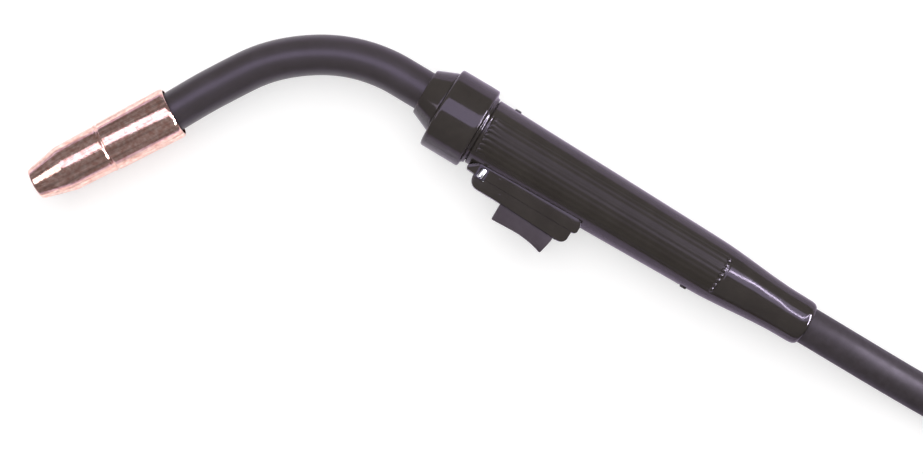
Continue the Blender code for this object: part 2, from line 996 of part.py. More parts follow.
for name, dy in (("a", 9.6), ("b", -9.6)):
    hole = rod(
        f"cut_contact_{name}",
        (90.0, PLUG_Y + dy, PLUG_Z),
        (115.5, PLUG_Y + dy, PLUG_Z),
        2.2,
        None,
        12,
        True,
    )
    combine(face, hole)
    combine(body, hole)
    turned(
        f"contact_pin_{name}",
        [(93.5, 0.0), (93.5, 1.0), (94.4, 1.8), (110.5, 1.8), (110.5, 0.0)],
        frame((0.0, PLUG_Y + dy, PLUG_Z), (1, 0, 0)),
        BRASS,
        12,
    )

# Moving groups hang from empties on their joint axes.
bpy.context.view_layer.update()


def group(name, at, members):
    empty = bpy.data.objects.new(name, None)
    TORCH.objects.link(empty)
    empty.location = placed(*at)
    bpy.context.view_layer.update()
    for member in members:
        obj = bpy.data.objects[member]
        world = obj.matrix_world.copy()
        obj.parent = empty
        obj.matrix_parent_inverse = empty.matrix_world.inverted()
        obj.matrix_world = world


group(
    "neck_swivel_axis",
    (-80.0, NECK_Y, AXIS_Z),
    [
        "conductor_tube",
        "neck_jacket",
        "wire_liner",
        "neck_seal",
        "neck_thrust_washer",
        "neck_collar",
        "nozzle_insulator",
        "nozzle_retaining_ring",
        "gas_diffuser",
        "contact_tip",
    ],
)
group("nozzle_slide_axis", leg_point(LN), ["nozzle"])
group("ring_turn_axis", (-80.0, GRIP_Y, AXIS_Z), ["lock_ring"])
group("trigger_pivot_axis", (*PIVOT, AXIS_Z), ["trigger_lever"])
group("hand_nut_axis", (113.0, PLUG_Y, PLUG_Z), ["hand_nut"])
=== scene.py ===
import math

import bmesh
import bpy
import numpy as np
from mathutils import Matrix, Vector


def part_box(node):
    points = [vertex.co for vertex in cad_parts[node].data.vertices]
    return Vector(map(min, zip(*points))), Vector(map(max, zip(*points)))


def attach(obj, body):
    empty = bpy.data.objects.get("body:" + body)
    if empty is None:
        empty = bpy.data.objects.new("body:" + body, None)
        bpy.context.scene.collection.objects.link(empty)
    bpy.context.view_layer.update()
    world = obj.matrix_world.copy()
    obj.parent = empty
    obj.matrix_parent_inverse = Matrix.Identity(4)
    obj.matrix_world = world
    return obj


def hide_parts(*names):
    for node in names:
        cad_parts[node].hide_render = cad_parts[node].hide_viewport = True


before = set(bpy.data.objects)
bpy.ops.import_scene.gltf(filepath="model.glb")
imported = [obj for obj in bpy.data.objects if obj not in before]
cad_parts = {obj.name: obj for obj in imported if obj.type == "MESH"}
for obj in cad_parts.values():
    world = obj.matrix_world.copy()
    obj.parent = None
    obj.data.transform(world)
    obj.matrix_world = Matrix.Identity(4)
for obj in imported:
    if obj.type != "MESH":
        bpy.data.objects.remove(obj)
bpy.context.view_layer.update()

# ------------------------------------------------------------------ drawing frame
# Sizes below are millimetres in the torch's drawing frame; W() turns a point into the
# row frame in metres. The shift is read back from the lock ring and the floor.
_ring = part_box("lock_ring")
OX = -92.0 - _ring[0].x * 1000.0
OY = -0.45 - (_ring[0].y + _ring[1].y) * 500.0
AXIS_Z, GRIP_Y, NECK_Y = 21.5, -0.45, 2.0


def W(x, y, z):
    return Vector(((x - OX) / 1000.0, (y - OY) / 1000.0, z / 1000.0))


def axes_at(origin, along, side=(0, 0, 1)):
    """Local Z along `along`, local X towards `side`; local units are metres."""
    z = Vector(along).normalized()
    x = Vector(side) - z * Vector(side).dot(z)
    x.normalize()
    y = z.cross(x)
    m = Matrix((x, y, z)).transposed().to_4x4()
    m.translation = W(*origin)
    return m


TH = math.radians(58.5)
LEG = Vector((-math.cos(TH), -math.sin(TH), 0.0))
CORNER = (-160.5, NECK_Y)
BEND_R = 77.5
TANGENT = BEND_R * math.tan(TH / 2)
GRIP = axes_at((0, GRIP_Y, AXIS_Z), (1, 0, 0))
NECK = axes_at((0, NECK_Y, AXIS_Z), (1, 0, 0))
NOZ = axes_at((CORNER[0], CORNER[1], AXIS_Z), LEG)
COIL_C, COIL_RO = (318.0, -107.0), 109.0
PLUG_Y, PLUG_Z = COIL_C[1] - COIL_RO, 24.8
PLUG = axes_at((0, PLUG_Y, PLUG_Z), (1, 0, 0))
CORD_R = 9.625


def leg_point(s, dz=0.0):
    return (CORNER[0] + LEG.x * s, CORNER[1] + LEG.y * s, AXIS_Z + dz)


def smooth01(u):
    u = min(1.0, max(0.0, u))
    return u * u * u * (u * (6 * u - 15) + 10)


def step(a, b, x):
    u = min(1.0, max(0.0, (x - a) / (b - a)))
    return u * u * (3 - 2 * u)


# ------------------------------------------------------------------ camera first
cam_data = bpy.data.cameras.new("camera")
cam = bpy.data.objects.new("camera", cam_data)
bpy.context.scene.collection.objects.link(cam)
cam_data.sensor_width = 36.0
CAM_D = 930.0
cam_data.lens = 36.0 * CAM_D / 461.5
cam.location = W(-50.05, -51.2, AXIS_Z + CAM_D)
cam.rotation_euler = (0.0, 0.0, math.radians(30.9))
cam_data.clip_start = 0.05
bpy.context.scene.camera = cam
IMG_UP = Vector((-math.sin(math.radians(30.9)), math.cos(math.radians(30.9)), 0.0))
IMG_RIGHT = Vector((math.cos(math.radians(30.9)), math.sin(math.radians(30.9)), 0.0))


# ------------------------------------------------------------------ materials
def node(nt, kind, **values):
    n = nt.nodes.new(kind)
    for k, v in values.items():
        if k in n.inputs:
            n.inputs[k].default_value = v
        else:
            setattr(n, k, v)
    return n


def finish_of(
    name,
    dark,
    light,
    colour_scale,
    rough,
    rough_scale,
    bumps=(),
    metallic=0.0,
    specular=0.5,
    tint=None,
    coat=0.0,
    coat_rough=0.1,
    sheen=0.0,
    sheen_tint=(1, 1, 1),
    aniso=0.0,
    contrast=(0.35, 0.65),
    lines=None,
):
    """A node-built finish: mottled colour, uneven roughness and fine surface relief."""
    m = bpy.data.materials.new(name)
    m.use_nodes = True
    nt = m.node_tree
    b = nt.nodes["Principled BSDF"]
    b.inputs["Metallic"].default_value = metallic
    b.inputs["Specular IOR Level"].default_value = specular
    if tint:
        b.inputs["Specular Tint"].default_value = (*tint, 1.0)
    if coat:
        b.inputs["Coat Weight"].default_value = coat
        b.inputs["Coat Roughness"].default_value = coat_rough
    if sheen:
        b.inputs["Sheen Weight"].default_value = sheen
        b.inputs["Sheen Roughness"].default_value = 0.4
        b.inputs["Sheen Tint"].default_value = (*sheen_tint, 1.0)
    if aniso:
        b.inputs["Anisotropic"].default_value = aniso
    tc = nt.nodes.new("ShaderNodeTexCoord")
    n1 = node(nt, "ShaderNodeTexNoise", Scale=colour_scale, Detail=4.0, Roughness=0.6)
    nt.links.new(tc.outputs["Object"], n1.inputs["Vector"])
    ramp = nt.nodes.new("ShaderNodeValToRGB")
    ramp.color_ramp.elements[0].position = contrast[0]
    ramp.color_ramp.elements[1].position = contrast[1]
    ramp.color_ramp.elements[0].color = (*dark, 1.0)
    ramp.color_ramp.elements[1].color = (*light, 1.0)
    nt.links.new(n1.outputs["Fac"], ramp.inputs["Fac"])
    nt.links.new(ramp.outputs["Color"], b.inputs["Base Color"])
    n2 = node(nt, "ShaderNodeTexNoise", Scale=rough_scale, Detail=3.0)
    nt.links.new(tc.outputs["Object"], n2.inputs["Vector"])
    mr = nt.nodes.new("ShaderNodeMapRange")
    mr.inputs["From Min"].default_value = 0.3
    mr.inputs["From Max"].default_value = 0.7
    mr.inputs["To Min"].default_value = rough[0]
    mr.inputs["To Max"].default_value = rough[1]
    nt.links.new(n2.outputs["Fac"], mr.inputs["Value"])
    nt.links.new(mr.outputs["Result"], b.inputs["Roughness"])
    last = None
    for scale, strength, distance in bumps:
        n3 = node(nt, "ShaderNodeTexNoise", Scale=scale, Detail=3.0, Roughness=0.55)
        nt.links.new(tc.outputs["Object"], n3.inputs["Vector"])
        bump = node(nt, "ShaderNodeBump", Strength=strength, Distance=distance)
        nt.links.new(n3.outputs["Fac"], bump.inputs["Height"])
        if last:
            nt.links.new(last.outputs["Normal"], bump.inputs["Normal"])
        last = bump
    if lines:  # fine turning marks: bands across a given direction
        angle, scale, strength, distance = lines
        mp = nt.nodes.new("ShaderNodeMapping")
        mp.inputs["Rotation"].default_value = (0.0, 0.0, angle)
        nt.links.new(tc.outputs["Object"], mp.inputs["Vector"])
        wv = nt.nodes.new("ShaderNodeTexWave")
        wv.bands_direction = "X"
        wv.inputs["Scale"].default_value = scale
        wv.inputs["Distortion"].default_value = 1.5
        wv.inputs["Detail"].default_value = 2.0
        nt.links.new(mp.outputs["Vector"], wv.inputs["Vector"])
        bump = node(nt, "ShaderNodeBump", Strength=strength, Distance=distance)
        nt.links.new(wv.outputs["Fac"], bump.inputs["Height"])
        if last:
            nt.links.new(last.outputs["Normal"], bump.inputs["Normal"])
        last = bump
    if last:
        nt.links.new(last.outputs["Normal"], b.inputs["Normal"])
    return m


LILAC = (0.86, 0.74, 1.0)
NYLON = finish_of(
    "black_nylon", (0.0345, 0.0300, 0.0252), (0.0425, 0.0375, 0.0315), 60.0, (0.085, 0.12), 120.0,
    bumps=((1500.0, 0.02, 0.0002),), specular=0.5, tint=LILAC,
)
GRIP_NYLON = finish_of(
    "black_nylon_grip", (0.0345, 0.0300, 0.0252), (0.0425, 0.0375, 0.0315), 60.0, (0.085, 0.12),
    120.0, bumps=((1500.0, 0.02, 0.0002),), specular=0.5, tint=LILAC,
)


def between(nt, value, low, high, soft):
    """1 where the value lies between two limits, 0 outside, with soft edges."""
    out = []
    for a, b in ((low - soft, low + soft), (high + soft, high - soft)):
        edge = nt.nodes.new("ShaderNodeMapRange")
        edge.inputs["From Min"].default_value = a
        edge.inputs["From Max"].default_value = b
        nt.links.new(value, edge.inputs["Value"])
        out.append(edge.outputs["Result"])
    both = nt.nodes.new("ShaderNodeMath")
    both.operation = "MULTIPLY"
    nt.links.new(out[0], both.inputs[0])
    nt.links.new(out[1], both.inputs[1])
    return both.outputs["Value"]


def dull_ribs(m, rough):
    """The ribbed panel is worn duller by the hand than the plain plastic round it."""
    nt = m.node_tree
    b = nt.nodes["Principled BSDF"]
    old = b.inputs["Roughness"].links[0].from_socket
    tc = nt.nodes.new("ShaderNodeTexCoord")
    xyz = nt.nodes.new("ShaderNodeSeparateXYZ")
    nt.links.new(tc.outputs["Object"], xyz.inputs["Vector"])
    a, c = W(-65.0, GRIP_Y - 11.3, 0), W(68.2, GRIP_Y + 8.9, 0)
    mask = nt.nodes.new("ShaderNodeMath")
    mask.operation = "MULTIPLY"
    nt.links.new(between(nt, xyz.outputs["X"], a.x, c.x, 0.0006), mask.inputs[0])
    nt.links.new(between(nt, xyz.outputs["Y"], a.y, c.y, 0.0004), mask.inputs[1])
    mix = nt.nodes.new("ShaderNodeMix")
    mix.data_type = "FLOAT"
    nt.links.new(mask.outputs["Value"], mix.inputs[0])
    nt.links.new(old, mix.inputs[2])
    mix.inputs[3].default_value = rough
    nt.links.new(mix.outputs[0], b.inputs["Roughness"])
    shine = nt.nodes.new("ShaderNodeMix")
    shine.data_type = "FLOAT"
    nt.links.new(mask.outputs["Value"], shine.inputs[0])
    shine.inputs[2].default_value = 0.5
    shine.inputs[3].default_value = 0.15
    nt.links.new(shine.outputs[0], b.inputs["Specular IOR Level"])


dull_ribs(GRIP_NYLON, 0.33)
SLEEVE = finish_of(
    "neck_sleeve", (0.040, 0.034, 0.033), (0.048, 0.041, 0.043), 55.0, (0.33, 0.38), 120.0,
    bumps=((1400.0, 0.06, 0.0003),), specular=0.5, tint=LILAC,
    sheen=0.05, sheen_tint=LILAC,
)
CABLE = finish_of(
    "cable_rubber", (0.042, 0.036, 0.037), (0.056, 0.048, 0.053), 300.0, (0.40, 0.50), 200.0,
    bumps=((1100.0, 0.12, 0.0004),), specular=0.2, tint=LILAC,
    sheen=0.06, sheen_tint=LILAC, contrast=(0.3, 0.7),
)
COPPER = finish_of(
    "nozzle_copper", (0.70, 0.385, 0.32), (0.95, 0.68, 0.61), 420.0, (0.07, 0.15), 500.0,
    bumps=((900.0, 0.10, 0.0003), (420.0, 0.06, 0.0005)), metallic=1.0,
    lines=(math.pi / 2 - 1.02, 900.0, 0.03, 0.0002),
)


def drawn(m, degrees, low, high):
    """Faint streaks along the tube, from drawing it, as lighter and darker metal."""
    nt = m.node_tree
    b = nt.nodes["Principled BSDF"]
    base = b.inputs["Base Color"].links[0].from_socket
    tc = nt.nodes.new("ShaderNodeTexCoord")
    turned = nt.nodes.new("ShaderNodeMapping")
    turned.inputs["Rotation"].default_value = (0.0, 0.0, math.radians(-degrees))
    nt.links.new(tc.outputs["Object"], turned.inputs["Vector"])
    drawn_out = nt.nodes.new("ShaderNodeMapping")
    drawn_out.inputs["Scale"].default_value = (20.0, 560.0, 560.0)
    nt.links.new(turned.outputs["Vector"], drawn_out.inputs["Vector"])
    nz = node(nt, "ShaderNodeTexNoise", Scale=1.0, Detail=3.0, Roughness=0.65)
    nt.links.new(drawn_out.outputs["Vector"], nz.inputs["Vector"])
    mr = nt.nodes.new("ShaderNodeMapRange")
    mr.inputs["From Min"].default_value = 0.36
    mr.inputs["From Max"].default_value = 0.62
    mr.inputs["To Min"].default_value = low
    mr.inputs["To Max"].default_value = high
    nt.links.new(nz.outputs["Fac"], mr.inputs["Value"])
    mul = nt.nodes.new("ShaderNodeVectorMath")
    mul.operation = "SCALE"
    nt.links.new(base, mul.inputs[0])
    nt.links.new(mr.outputs["Result"], mul.inputs["Scale"])
    nt.links.new(mul.outputs["Vector"], b.inputs["Base Color"])


drawn(COPPER, 58.5, 0.64, 1.12)
TIP_CU = finish_of(
    "tube_copper", (0.55, 0.27, 0.17), (0.78, 0.43, 0.30), 160.0, (0.24, 0.38), 300.0,
    bumps=((800.0, 0.08, 0.0003),), metallic=1.0,
)
BRASS = finish_of(
    "brass", (0.62, 0.43, 0.17), (0.80, 0.60, 0.28), 130.0, (0.16, 0.30), 260.0,
    bumps=((900.0, 0.05, 0.0002),), metallic=1.0,
)
STEEL = finish_of(
    "zinc_steel", (0.62, 0.63, 0.66), (0.86, 0.86, 0.88), 300.0, (0.14, 0.26), 500.0,
    bumps=((1200.0, 0.05, 0.0002),), metallic=1.0,
)
PHENOLIC = finish_of(
    "phenolic", (0.075, 0.030, 0.016), (0.13, 0.055, 0.030), 180.0, (0.42, 0.56), 300.0,
    bumps=((900.0, 0.10, 0.0003),),
)
LEVER = finish_of(
    "trigger_plastic", (0.050, 0.041, 0.043), (0.063, 0.052, 0.056), 90.0, (0.34, 0.44), 220.0,
    bumps=((1500.0, 0.10, 0.0003),), specular=0.3, tint=LILAC,
)
SWITCH = finish_of(
    "switch_plastic", (0.10, 0.10, 0.11), (0.15, 0.15, 0.16), 120.0, (0.38, 0.5), 200.0,
    bumps=((1200.0, 0.08, 0.0003),),
)
SEAL = finish_of(
    "seal_rubber", (0.018, 0.018, 0.019), (0.032, 0.031, 0.033), 200.0, (0.5, 0.65), 260.0,
    bumps=((1100.0, 0.1, 0.0003),),
)
LEAD_R = finish_of("lead_red", (0.32, 0.02, 0.02), (0.45, 0.04, 0.03), 200.0, (0.35, 0.5), 300.0,
                   bumps=((900.0, 0.05, 0.0002),))
LEAD_W = finish_of("lead_white", (0.55, 0.55, 0.52), (0.70, 0.70, 0.67), 200.0, (0.35, 0.5), 300.0,
                   bumps=((900.0, 0.05, 0.0002),))
STRAP = finish_of(
    "strap_weave", (0.012, 0.012, 0.014), (0.05, 0.05, 0.055), 1400.0, (0.75, 0.95), 800.0,
    bumps=((1800.0, 0.5, 0.0006), (500.0, 0.3, 0.0006)), sheen=0.2, sheen_tint=(0.8, 0.8, 0.85),
)

CAD_FINISH = {
    "neck_socket": BRASS, "socket_clamp_band": STEEL, "cable_core": SEAL, "cable_crimp": STEEL,
    "switch_body": SWITCH, "switch_plunger": LEAD_R, "switch_terminal_a": BRASS,
    "switch_terminal_b": BRASS, "switch_lead_a": LEAD_R, "switch_lead_b": LEAD_W,
    "trigger_spring": STEEL, "trigger_pivot_pin": STEEL, "wire_liner": STEEL,
    "neck_seal": SEAL, "neck_thrust_washer": BRASS,
    "handle_screw_1": STEEL, "handle_screw_2": STEEL, "handle_screw_3": STEEL,
    "handle_screw_4": STEEL, "conductor_tube": TIP_CU,
}
for name, mat in CAD_FINISH.items():
    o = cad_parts[name]
    o.data.materials.clear()
    o.data.materials.append(mat)


# ------------------------------------------------------------------ builders
def link(obj):
    bpy.context.scene.collection.objects.link(obj)
    return obj


def shade(mesh, angle=38.0):
    for p in mesh.polygons:
        p.use_smooth = True
    mesh.set_sharp_from_angle(angle=math.radians(angle))


def make(name, verts, faces, mat, angle=38.0):
    mesh = bpy.data.meshes.new(name)
    mesh.from_pydata([tuple(v) for v in verts], [], faces)
    bm = bmesh.new()
    bm.from_mesh(mesh)
    bmesh.ops.remove_doubles(bm, verts=bm.verts, dist=1e-7)
    bmesh.ops.recalc_face_normals(bm, faces=bm.faces)
    bm.to_mesh(mesh)
    bm.free()
    mesh.materials.append(mat)
    shade(mesh, angle)
    return link(bpy.data.objects.new(name, mesh))


def rounded(profile, radius, n=4):
    """The closed outline with each corner rounded, by at most a third of its sides."""
    out = []
    count = len(profile)
    for i in range(count):
        a, p, b = (Vector((*profile[(i + k) % count], 0)) for k in (-1, 0, 1))
        if abs(p.y) < 1e-9:
            out.append((p.x, p.y))
            continue
        u, v = (a - p), (b - p)
        turn = math.pi - u.angle(v) if u.length > 1e-9 and v.length > 1e-9 else 0
        if turn < math.radians(12):
            out.append((p.x, p.y))
            continue
        r = radius(profile[i]) if callable(radius) else radius
        cut = min(r * math.tan(turn / 2), u.length * 0.4, v.length * 0.4)
        s, e = p + u.normalized() * cut, p + v.normalized() * cut
        for k in range(n + 1):
            t = k / n
            q = s * (1 - t) ** 2 + p * 2 * t * (1 - t) + e * t * t
            out.append((q.x, q.y))
    return out


def lathe(name, profile, where, mat, segs=96, soft=0.3, mod=None, angle=38.0):
    """A closed (axial, radius) outline in mm turned about the local Z of `where`."""
    pts = rounded(profile, soft) if soft else list(profile)
    verts, faces = [], []
    rows = len(pts)
    for k in range(segs):
        phi = 2 * math.pi * k / segs
        for a, r in pts:
            rr = mod(a, r, phi) if mod else r
            verts.append(
                where @ Vector((rr * math.cos(phi) / 1000, rr * math.sin(phi) / 1000, a / 1000))
            )
    for k in range(segs):
        k2 = (k + 1) % segs
        for i in range(rows):
            j = (i + 1) % rows
            if pts[i][1] < 1e-9 and pts[j][1] < 1e-9:
                continue
            quad = [k * rows + i, k * rows + j, k2 * rows + j, k2 * rows + i]
            if pts[i][1] < 1e-9:
                quad = quad[:3]
            elif pts[j][1] < 1e-9:
                quad = [quad[0], quad[1], quad[3]]
            faces.append(quad)
    return make(name, verts, faces, mat, angle)


def sweep(name, path, r_out, mat, sides=48, r_in=None, end_round=0.5):
    """A tube along a level path of points in mm; hollow when r_in is given."""
    pts = [Vector(p) for p in path]
    rings = []
    total = len(pts)
    verts, faces = [], []

    def ring(p, t, r):
        side = Vector((0, 0, 1)).cross(t).normalized()
        base = len(verts)
        for k in range(sides):
            a = 2 * math.pi * k / sides
            q = p + side * (r * math.cos(a)) + Vector((0, 0, 1)) * (r * math.sin(a))
            verts.append(W(*q))
        rings.append(base)

    def tangent(i):
        return (pts[min(i + 1, total - 1)] - pts[max(i - 1, 0)]).normalized()

    t0, t1 = tangent(0), tangent(total - 1)
    e = end_round
    inner = r_in if r_in else 0.0
    ring(pts[0], t0, r_out - e)
    ring(pts[0] + t0 * e * 0.3, t0, r_out - e * 0.3)
    for i in range(total):
        p = pts[i]
        if i == 0:
            p = pts[0] + t0 * e
        if i == total - 1:
            p = pts[-1] - t1 * e
        ring(p, tangent(i), r_out)
    ring(pts[-1] - t1 * e * 0.3, t1, r_out - e * 0.3)
    ring(pts[-1], t1, r_out - e)
    if inner:
        for i in range(total - 1, -1, -1):
            ring(pts[i], tangent(i), inner)
        loop = rings + rings[:1]
    else:
        loop = rings
    for a, b in zip(loop, loop[1:]):
        for k in range(sides):
            k2 = (k + 1) % sides
            faces.append([a + k, a + k2, b + k2, b + k])
    if not inner:
        faces.append([rings[0] + k for k in range(sides)][::-1])
        faces.append([rings[-1] + k for k in range(sides)])
    return make(name, verts, faces, mat, 50.0)


def plate(name, outline, z0, z1, mat, bevel=0.4, segments=3, angle=30.0):
    """A flat outline in X and Y (mm), made thick between heights z0 and z1, edges rounded."""
    mesh = bpy.data.meshes.new(name)
    bm = bmesh.new()
    vs = [bm.verts.new(W(x, y, z0)) for x, y in outline]
    face = bm.faces.new(vs)
    got = bmesh.ops.extrude_face_region(bm, geom=[face])
    up = [g for g in got["geom"] if isinstance(g, bmesh.types.BMVert)]
    bmesh.ops.translate(bm, verts=up, vec=(0, 0, (z1 - z0) / 1000))
    bmesh.ops.recalc_face_normals(bm, faces=bm.faces)
    bm.to_mesh(mesh)
    bm.free()
    if mat:
        mesh.materials.append(mat)
    obj = link(bpy.data.objects.new(name, mesh))
    if bevel:
        mod = obj.modifiers.new("Bevel", "BEVEL")
        mod.width = bevel / 1000
        mod.segments = segments
        mod.limit_method = "ANGLE"
        mod.angle_limit = math.radians(angle)
        apply(obj)
    return obj


def apply(obj):
    """The evaluated mesh with its modifiers, put in place of the mesh."""
    bpy.context.view_layer.update()
    graph = bpy.context.evaluated_depsgraph_get()
    mesh = bpy.data.meshes.new_from_object(obj.evaluated_get(graph))
    mats = [m for m in obj.data.materials]
    obj.modifiers.clear()
    obj.data = mesh
    if mats and not mesh.materials:
        mesh.materials.append(mats[0])
    return obj


def cut(obj, cutters, operation="DIFFERENCE"):
    for c in cutters:
        mod = obj.modifiers.new("Boolean", "BOOLEAN")
        mod.operation = operation
        mod.solver = "EXACT"
        mod.object = c
    apply(obj)
    for c in cutters:
        bpy.data.objects.remove(c, do_unlink=True)
    return obj


def cylinder(name, start, end, r, segs=32, mat=None):
    a, b = Vector(start), Vector(end)
    side = (0, 0, 1) if abs((b - a).normalized().z) < 0.9 else (1, 0, 0)
    m = axes_at(start, b - a, side)
    return lathe(name, [(0, 0), (0, r), ((b - a).length, r), ((b - a).length, 0)], m,
                 mat or STEEL, segs, soft=0)


def cube(name, low, high):
    return plate(name, [(low[0], low[1]), (high[0], low[1]), (high[0], high[1]), (low[0], high[1])],
                 low[2], high[2], None, bevel=0)


def settle(obj, body, *nodes, slot=None):
    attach(obj, body)
    if nodes:
        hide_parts(*nodes)
    return obj


# ------------------------------------------------------------------ the cord
def lead_point(x):
    y_end = COIL_C[1] + COIL_RO
    return (
        x,
        GRIP_Y + (y_end - GRIP_Y) * smooth01((x - 121.0) / 179.0),
        AXIS_Z - (AXIS_Z - CORD_R - 0.55) * smooth01((x - 121.0) / 90.0),
    )


PITCH = 19.6
Z0 = CORD_R + 0.55
Z1 = Z0 + 19.5
R_O, R_M, R_I = COIL_RO, COIL_RO - PITCH, COIL_RO - 2 * PITCH


def coil_track(th):
    """(radius, height) of the winding at th degrees after it meets the coil."""
    r, z = R_O, Z0
    r -= PITCH * smooth01((th - 245.0) / 110.0)
    r -= PITCH * smooth01((th - 605.0) / 110.0)
    if th > 835.0:  # over the middle turn and onto the upper layer
        psi = math.pi / 2 * smooth01((th - 835.0) / 100.0)
        r = R_M - PITCH * math.cos(psi)
        z = Z0 + 19.5 * math.sin(psi)
    if th > 1195.0:  # outwards, in step with the climb one turn before
        r = R_M + PITCH * (1 - math.cos(math.pi / 2 * smooth01((th - 1195.0) / 100.0)))
    return r, z


def cord_route():
    pts = [lead_point(x) for x in np.linspace(99.0, COIL_C[0], 60)]
    for th in np.arange(3.0, 1620.1, 3.0):
        r, z = coil_track(th)
        a = math.radians(90.0 - th)
        pts.append((COIL_C[0] + r * math.cos(a), COIL_C[1] + r * math.sin(a), z))
    last = pts[-1]
    end_x = 207.0
    for x in np.linspace(last[0], end_x, 28)[1:]:
        u = smooth01((300.0 - x) / 54.0)
        pts.append((x, last[1] + (PLUG_Y - last[1]) * u, last[2] + (PLUG_Z - last[2]) * u))
    return pts


route = cord_route()
# smooth the few joins between the pieces of the route
arr = np.array(route)
for _ in range(6):
    arr[1:-1] = arr[1:-1] * 0.5 + (arr[:-2] + arr[2:]) * 0.25
arr[:8] = np.array(route)[:8]
route = [tuple(p) for p in arr]
CORD_LEN = float(np.linalg.norm(np.diff(arr, axis=0), axis=1).sum()) / 1000
curve = bpy.data.curves.new("cable", "CURVE")
curve.dimensions = "3D"
curve.bevel_depth = CORD_R / 1000
curve.bevel_resolution = 8
curve.use_fill_caps = True
spline = curve.splines.new("POLY")
spline.points.add(len(route) - 1)
for p, co in zip(spline.points, route):
    p.co = (*W(*co), 1.0)
spline.use_smooth = True
curve.materials.append(CABLE)
cable = link(bpy.data.objects.new("cable", curve))
settle(cable, "grip", "cable_lead", "cable_coil", slot="cable_rubber")
print("cord length", round(CORD_LEN, 4), "points", len(route))

# strain relief and everything on the plug end come later; first the two straps


def hull(points):
    pts = sorted(set((round(a, 5), round(b, 5)) for a, b in points))

    def half(seq):
        out = []
        for p in seq:
            while len(out) > 1 and (
                (out[-1][0] - out[-2][0]) * (p[1] - out[-2][1])
                - (out[-1][1] - out[-2][1]) * (p[0] - out[-2][0])
            ) <= 0:
                out.pop()
            out.append(p)
        return out

    low, up = half(pts), half(pts[::-1])
    return low[:-1] + up[:-1]


def resample(poly, n, centre):
    """Where rays from the centre at equal angles meet the convex outline."""
    out = []
    for k in range(n):
        a = 2 * math.pi * k / n
        d = (math.cos(a), math.sin(a))
        best = None
        for p, q in zip(poly, poly[1:] + poly[:1]):
            ex, ey = q[0] - p[0], q[1] - p[1]
            den = d[0] * ey - d[1] * ex
            if abs(den) < 1e-12:
                continue
            px, py = p[0] - centre[0], p[1] - centre[1]
            t = (px * ey - py * ex) / den
            s = (px * d[1] - py * d[0]) / den
            if t > 0 and -1e-9 <= s <= 1 + 1e-9 and (best is None or t > best):
                best = t
        out.append((centre[0] + d[0] * best, centre[1] + d[1] * best))
    return out


def section_at(degrees):
    """Centres (radius, height) of the cord where it passes this compass angle of the coil."""
    found = []
    th = (90.0 - degrees) % 360.0
    while th < 1620.0:
        found.append(coil_track(th))
        th += 360.0
    return found


def strap(name, degrees, wide=13.0):
    a = math.radians(degrees)
    d = Vector((math.cos(a), math.sin(a), 0))
    across = Vector((-d.y, d.x, 0))
    cs = section_at(degrees)
    centre = (sum(c[0] for c in cs) / len(cs), sum(c[1] for c in cs) / len(cs))
    sides = [math.radians(k * 7.5) for k in range(48)]

    def loop(r, floor, n=112):
        pts = [(c[0] + r * math.cos(s), c[1] + r * math.sin(s)) for c in cs for s in sides]
        return [(x, max(y, floor)) for x, y in resample(hull(pts), n, centre)]

    inner, mid, outer = (
        loop(CORD_R + 0.42, 0.42), loop(CORD_R + 0.9, 0.25), loop(CORD_R + 1.35, 0.1)
    )
    h = wide / 2
    rims = [(inner, -h + 0.25), (mid, -h), (outer, -h + 0.25)]
    rims += [(outer, -h + 1.2), (outer, 0.0), (outer, h - 1.2), (outer, h - 0.25), (mid, h)]
    rims += [(inner, h - 0.25), (inner, 0.0)]
    n = len(inner)
    verts, faces = [], []
    for rim, off in rims:
        for x, z in rim:
            p = Vector((*COIL_C, 0)) + d * x + across * off
            verts.append(W(p.x, p.y, z))
    for i in range(len(rims)):
        j = (i + 1) % len(rims)
        for k in range(n):
            k2 = (k + 1) % n
            faces.append([i * n + k, i * n + k2, j * n + k2, j * n + k])
    body = make(f"strap_{name}", verts, faces, STRAP, 60)
    settle(body, "grip", f"coil_strap_{name}", slot="strap")
    # the free end, pressed down over the top and the outer side
    lap0, lap1 = loop(CORD_R + 1.38, 0.4), loop(CORD_R + 2.3, 0.4)
    ks = [k for k in range(n) if math.radians(12) < 2 * math.pi * k / n < math.radians(104)]
    rows = []
    for i, k in enumerate(ks):
        t = i / (len(ks) - 1)
        w = h - 0.35
        if t > 0.86:
            w *= math.sqrt(max(0.02, 1 - ((t - 0.86) / 0.14) ** 2 * 0.95))
        rows.append((lap0[k], lap1[k], w))
    verts, faces = [], []
    for low, high, w in rows:
        for (x, z), off in (
            (low, -w), (high, -w + 0.3), (high, 0.0), (high, w - 0.3), (low, w), (low, 0.0)
        ):
            p = Vector((*COIL_C, 0)) + d * x + across * off
            verts.append(W(p.x, p.y, z))
    m = 6
    for i in range(len(rows) - 1):
        for k in range(m):
            k2 = (k + 1) % m
            faces.append([i * m + k, i * m + k2, (i + 1) * m + k2, (i + 1) * m + k])
    faces.append([k for k in range(m)][::-1])
    faces.append([(len(rows) - 1) * m + k for k in range(m)])
    lap = make(f"strap_{name}_lap", verts, faces, STRAP, 40)
    settle(lap, "grip", slot="strap")
    return [body, lap]


strap_pieces = strap("a", 180.0) + strap("b", 20.0)


# ------------------------------------------------------------------ grip shells
GRIP_PROFILE = [
    (-68.1, 17.2), (-67.6, 17.75), (-40.0, 17.1), (0.0, 16.4), (32.0, 15.75), (65.0, 15.05),
    (70.0, 14.75), (80.0, 13.95), (92.0, 12.8), (104.0, 11.95), (116.0, 11.8), (118.6, 11.3),
    (120.0, 10.6),
]
WALL, SEAM = 2.5, 0.15


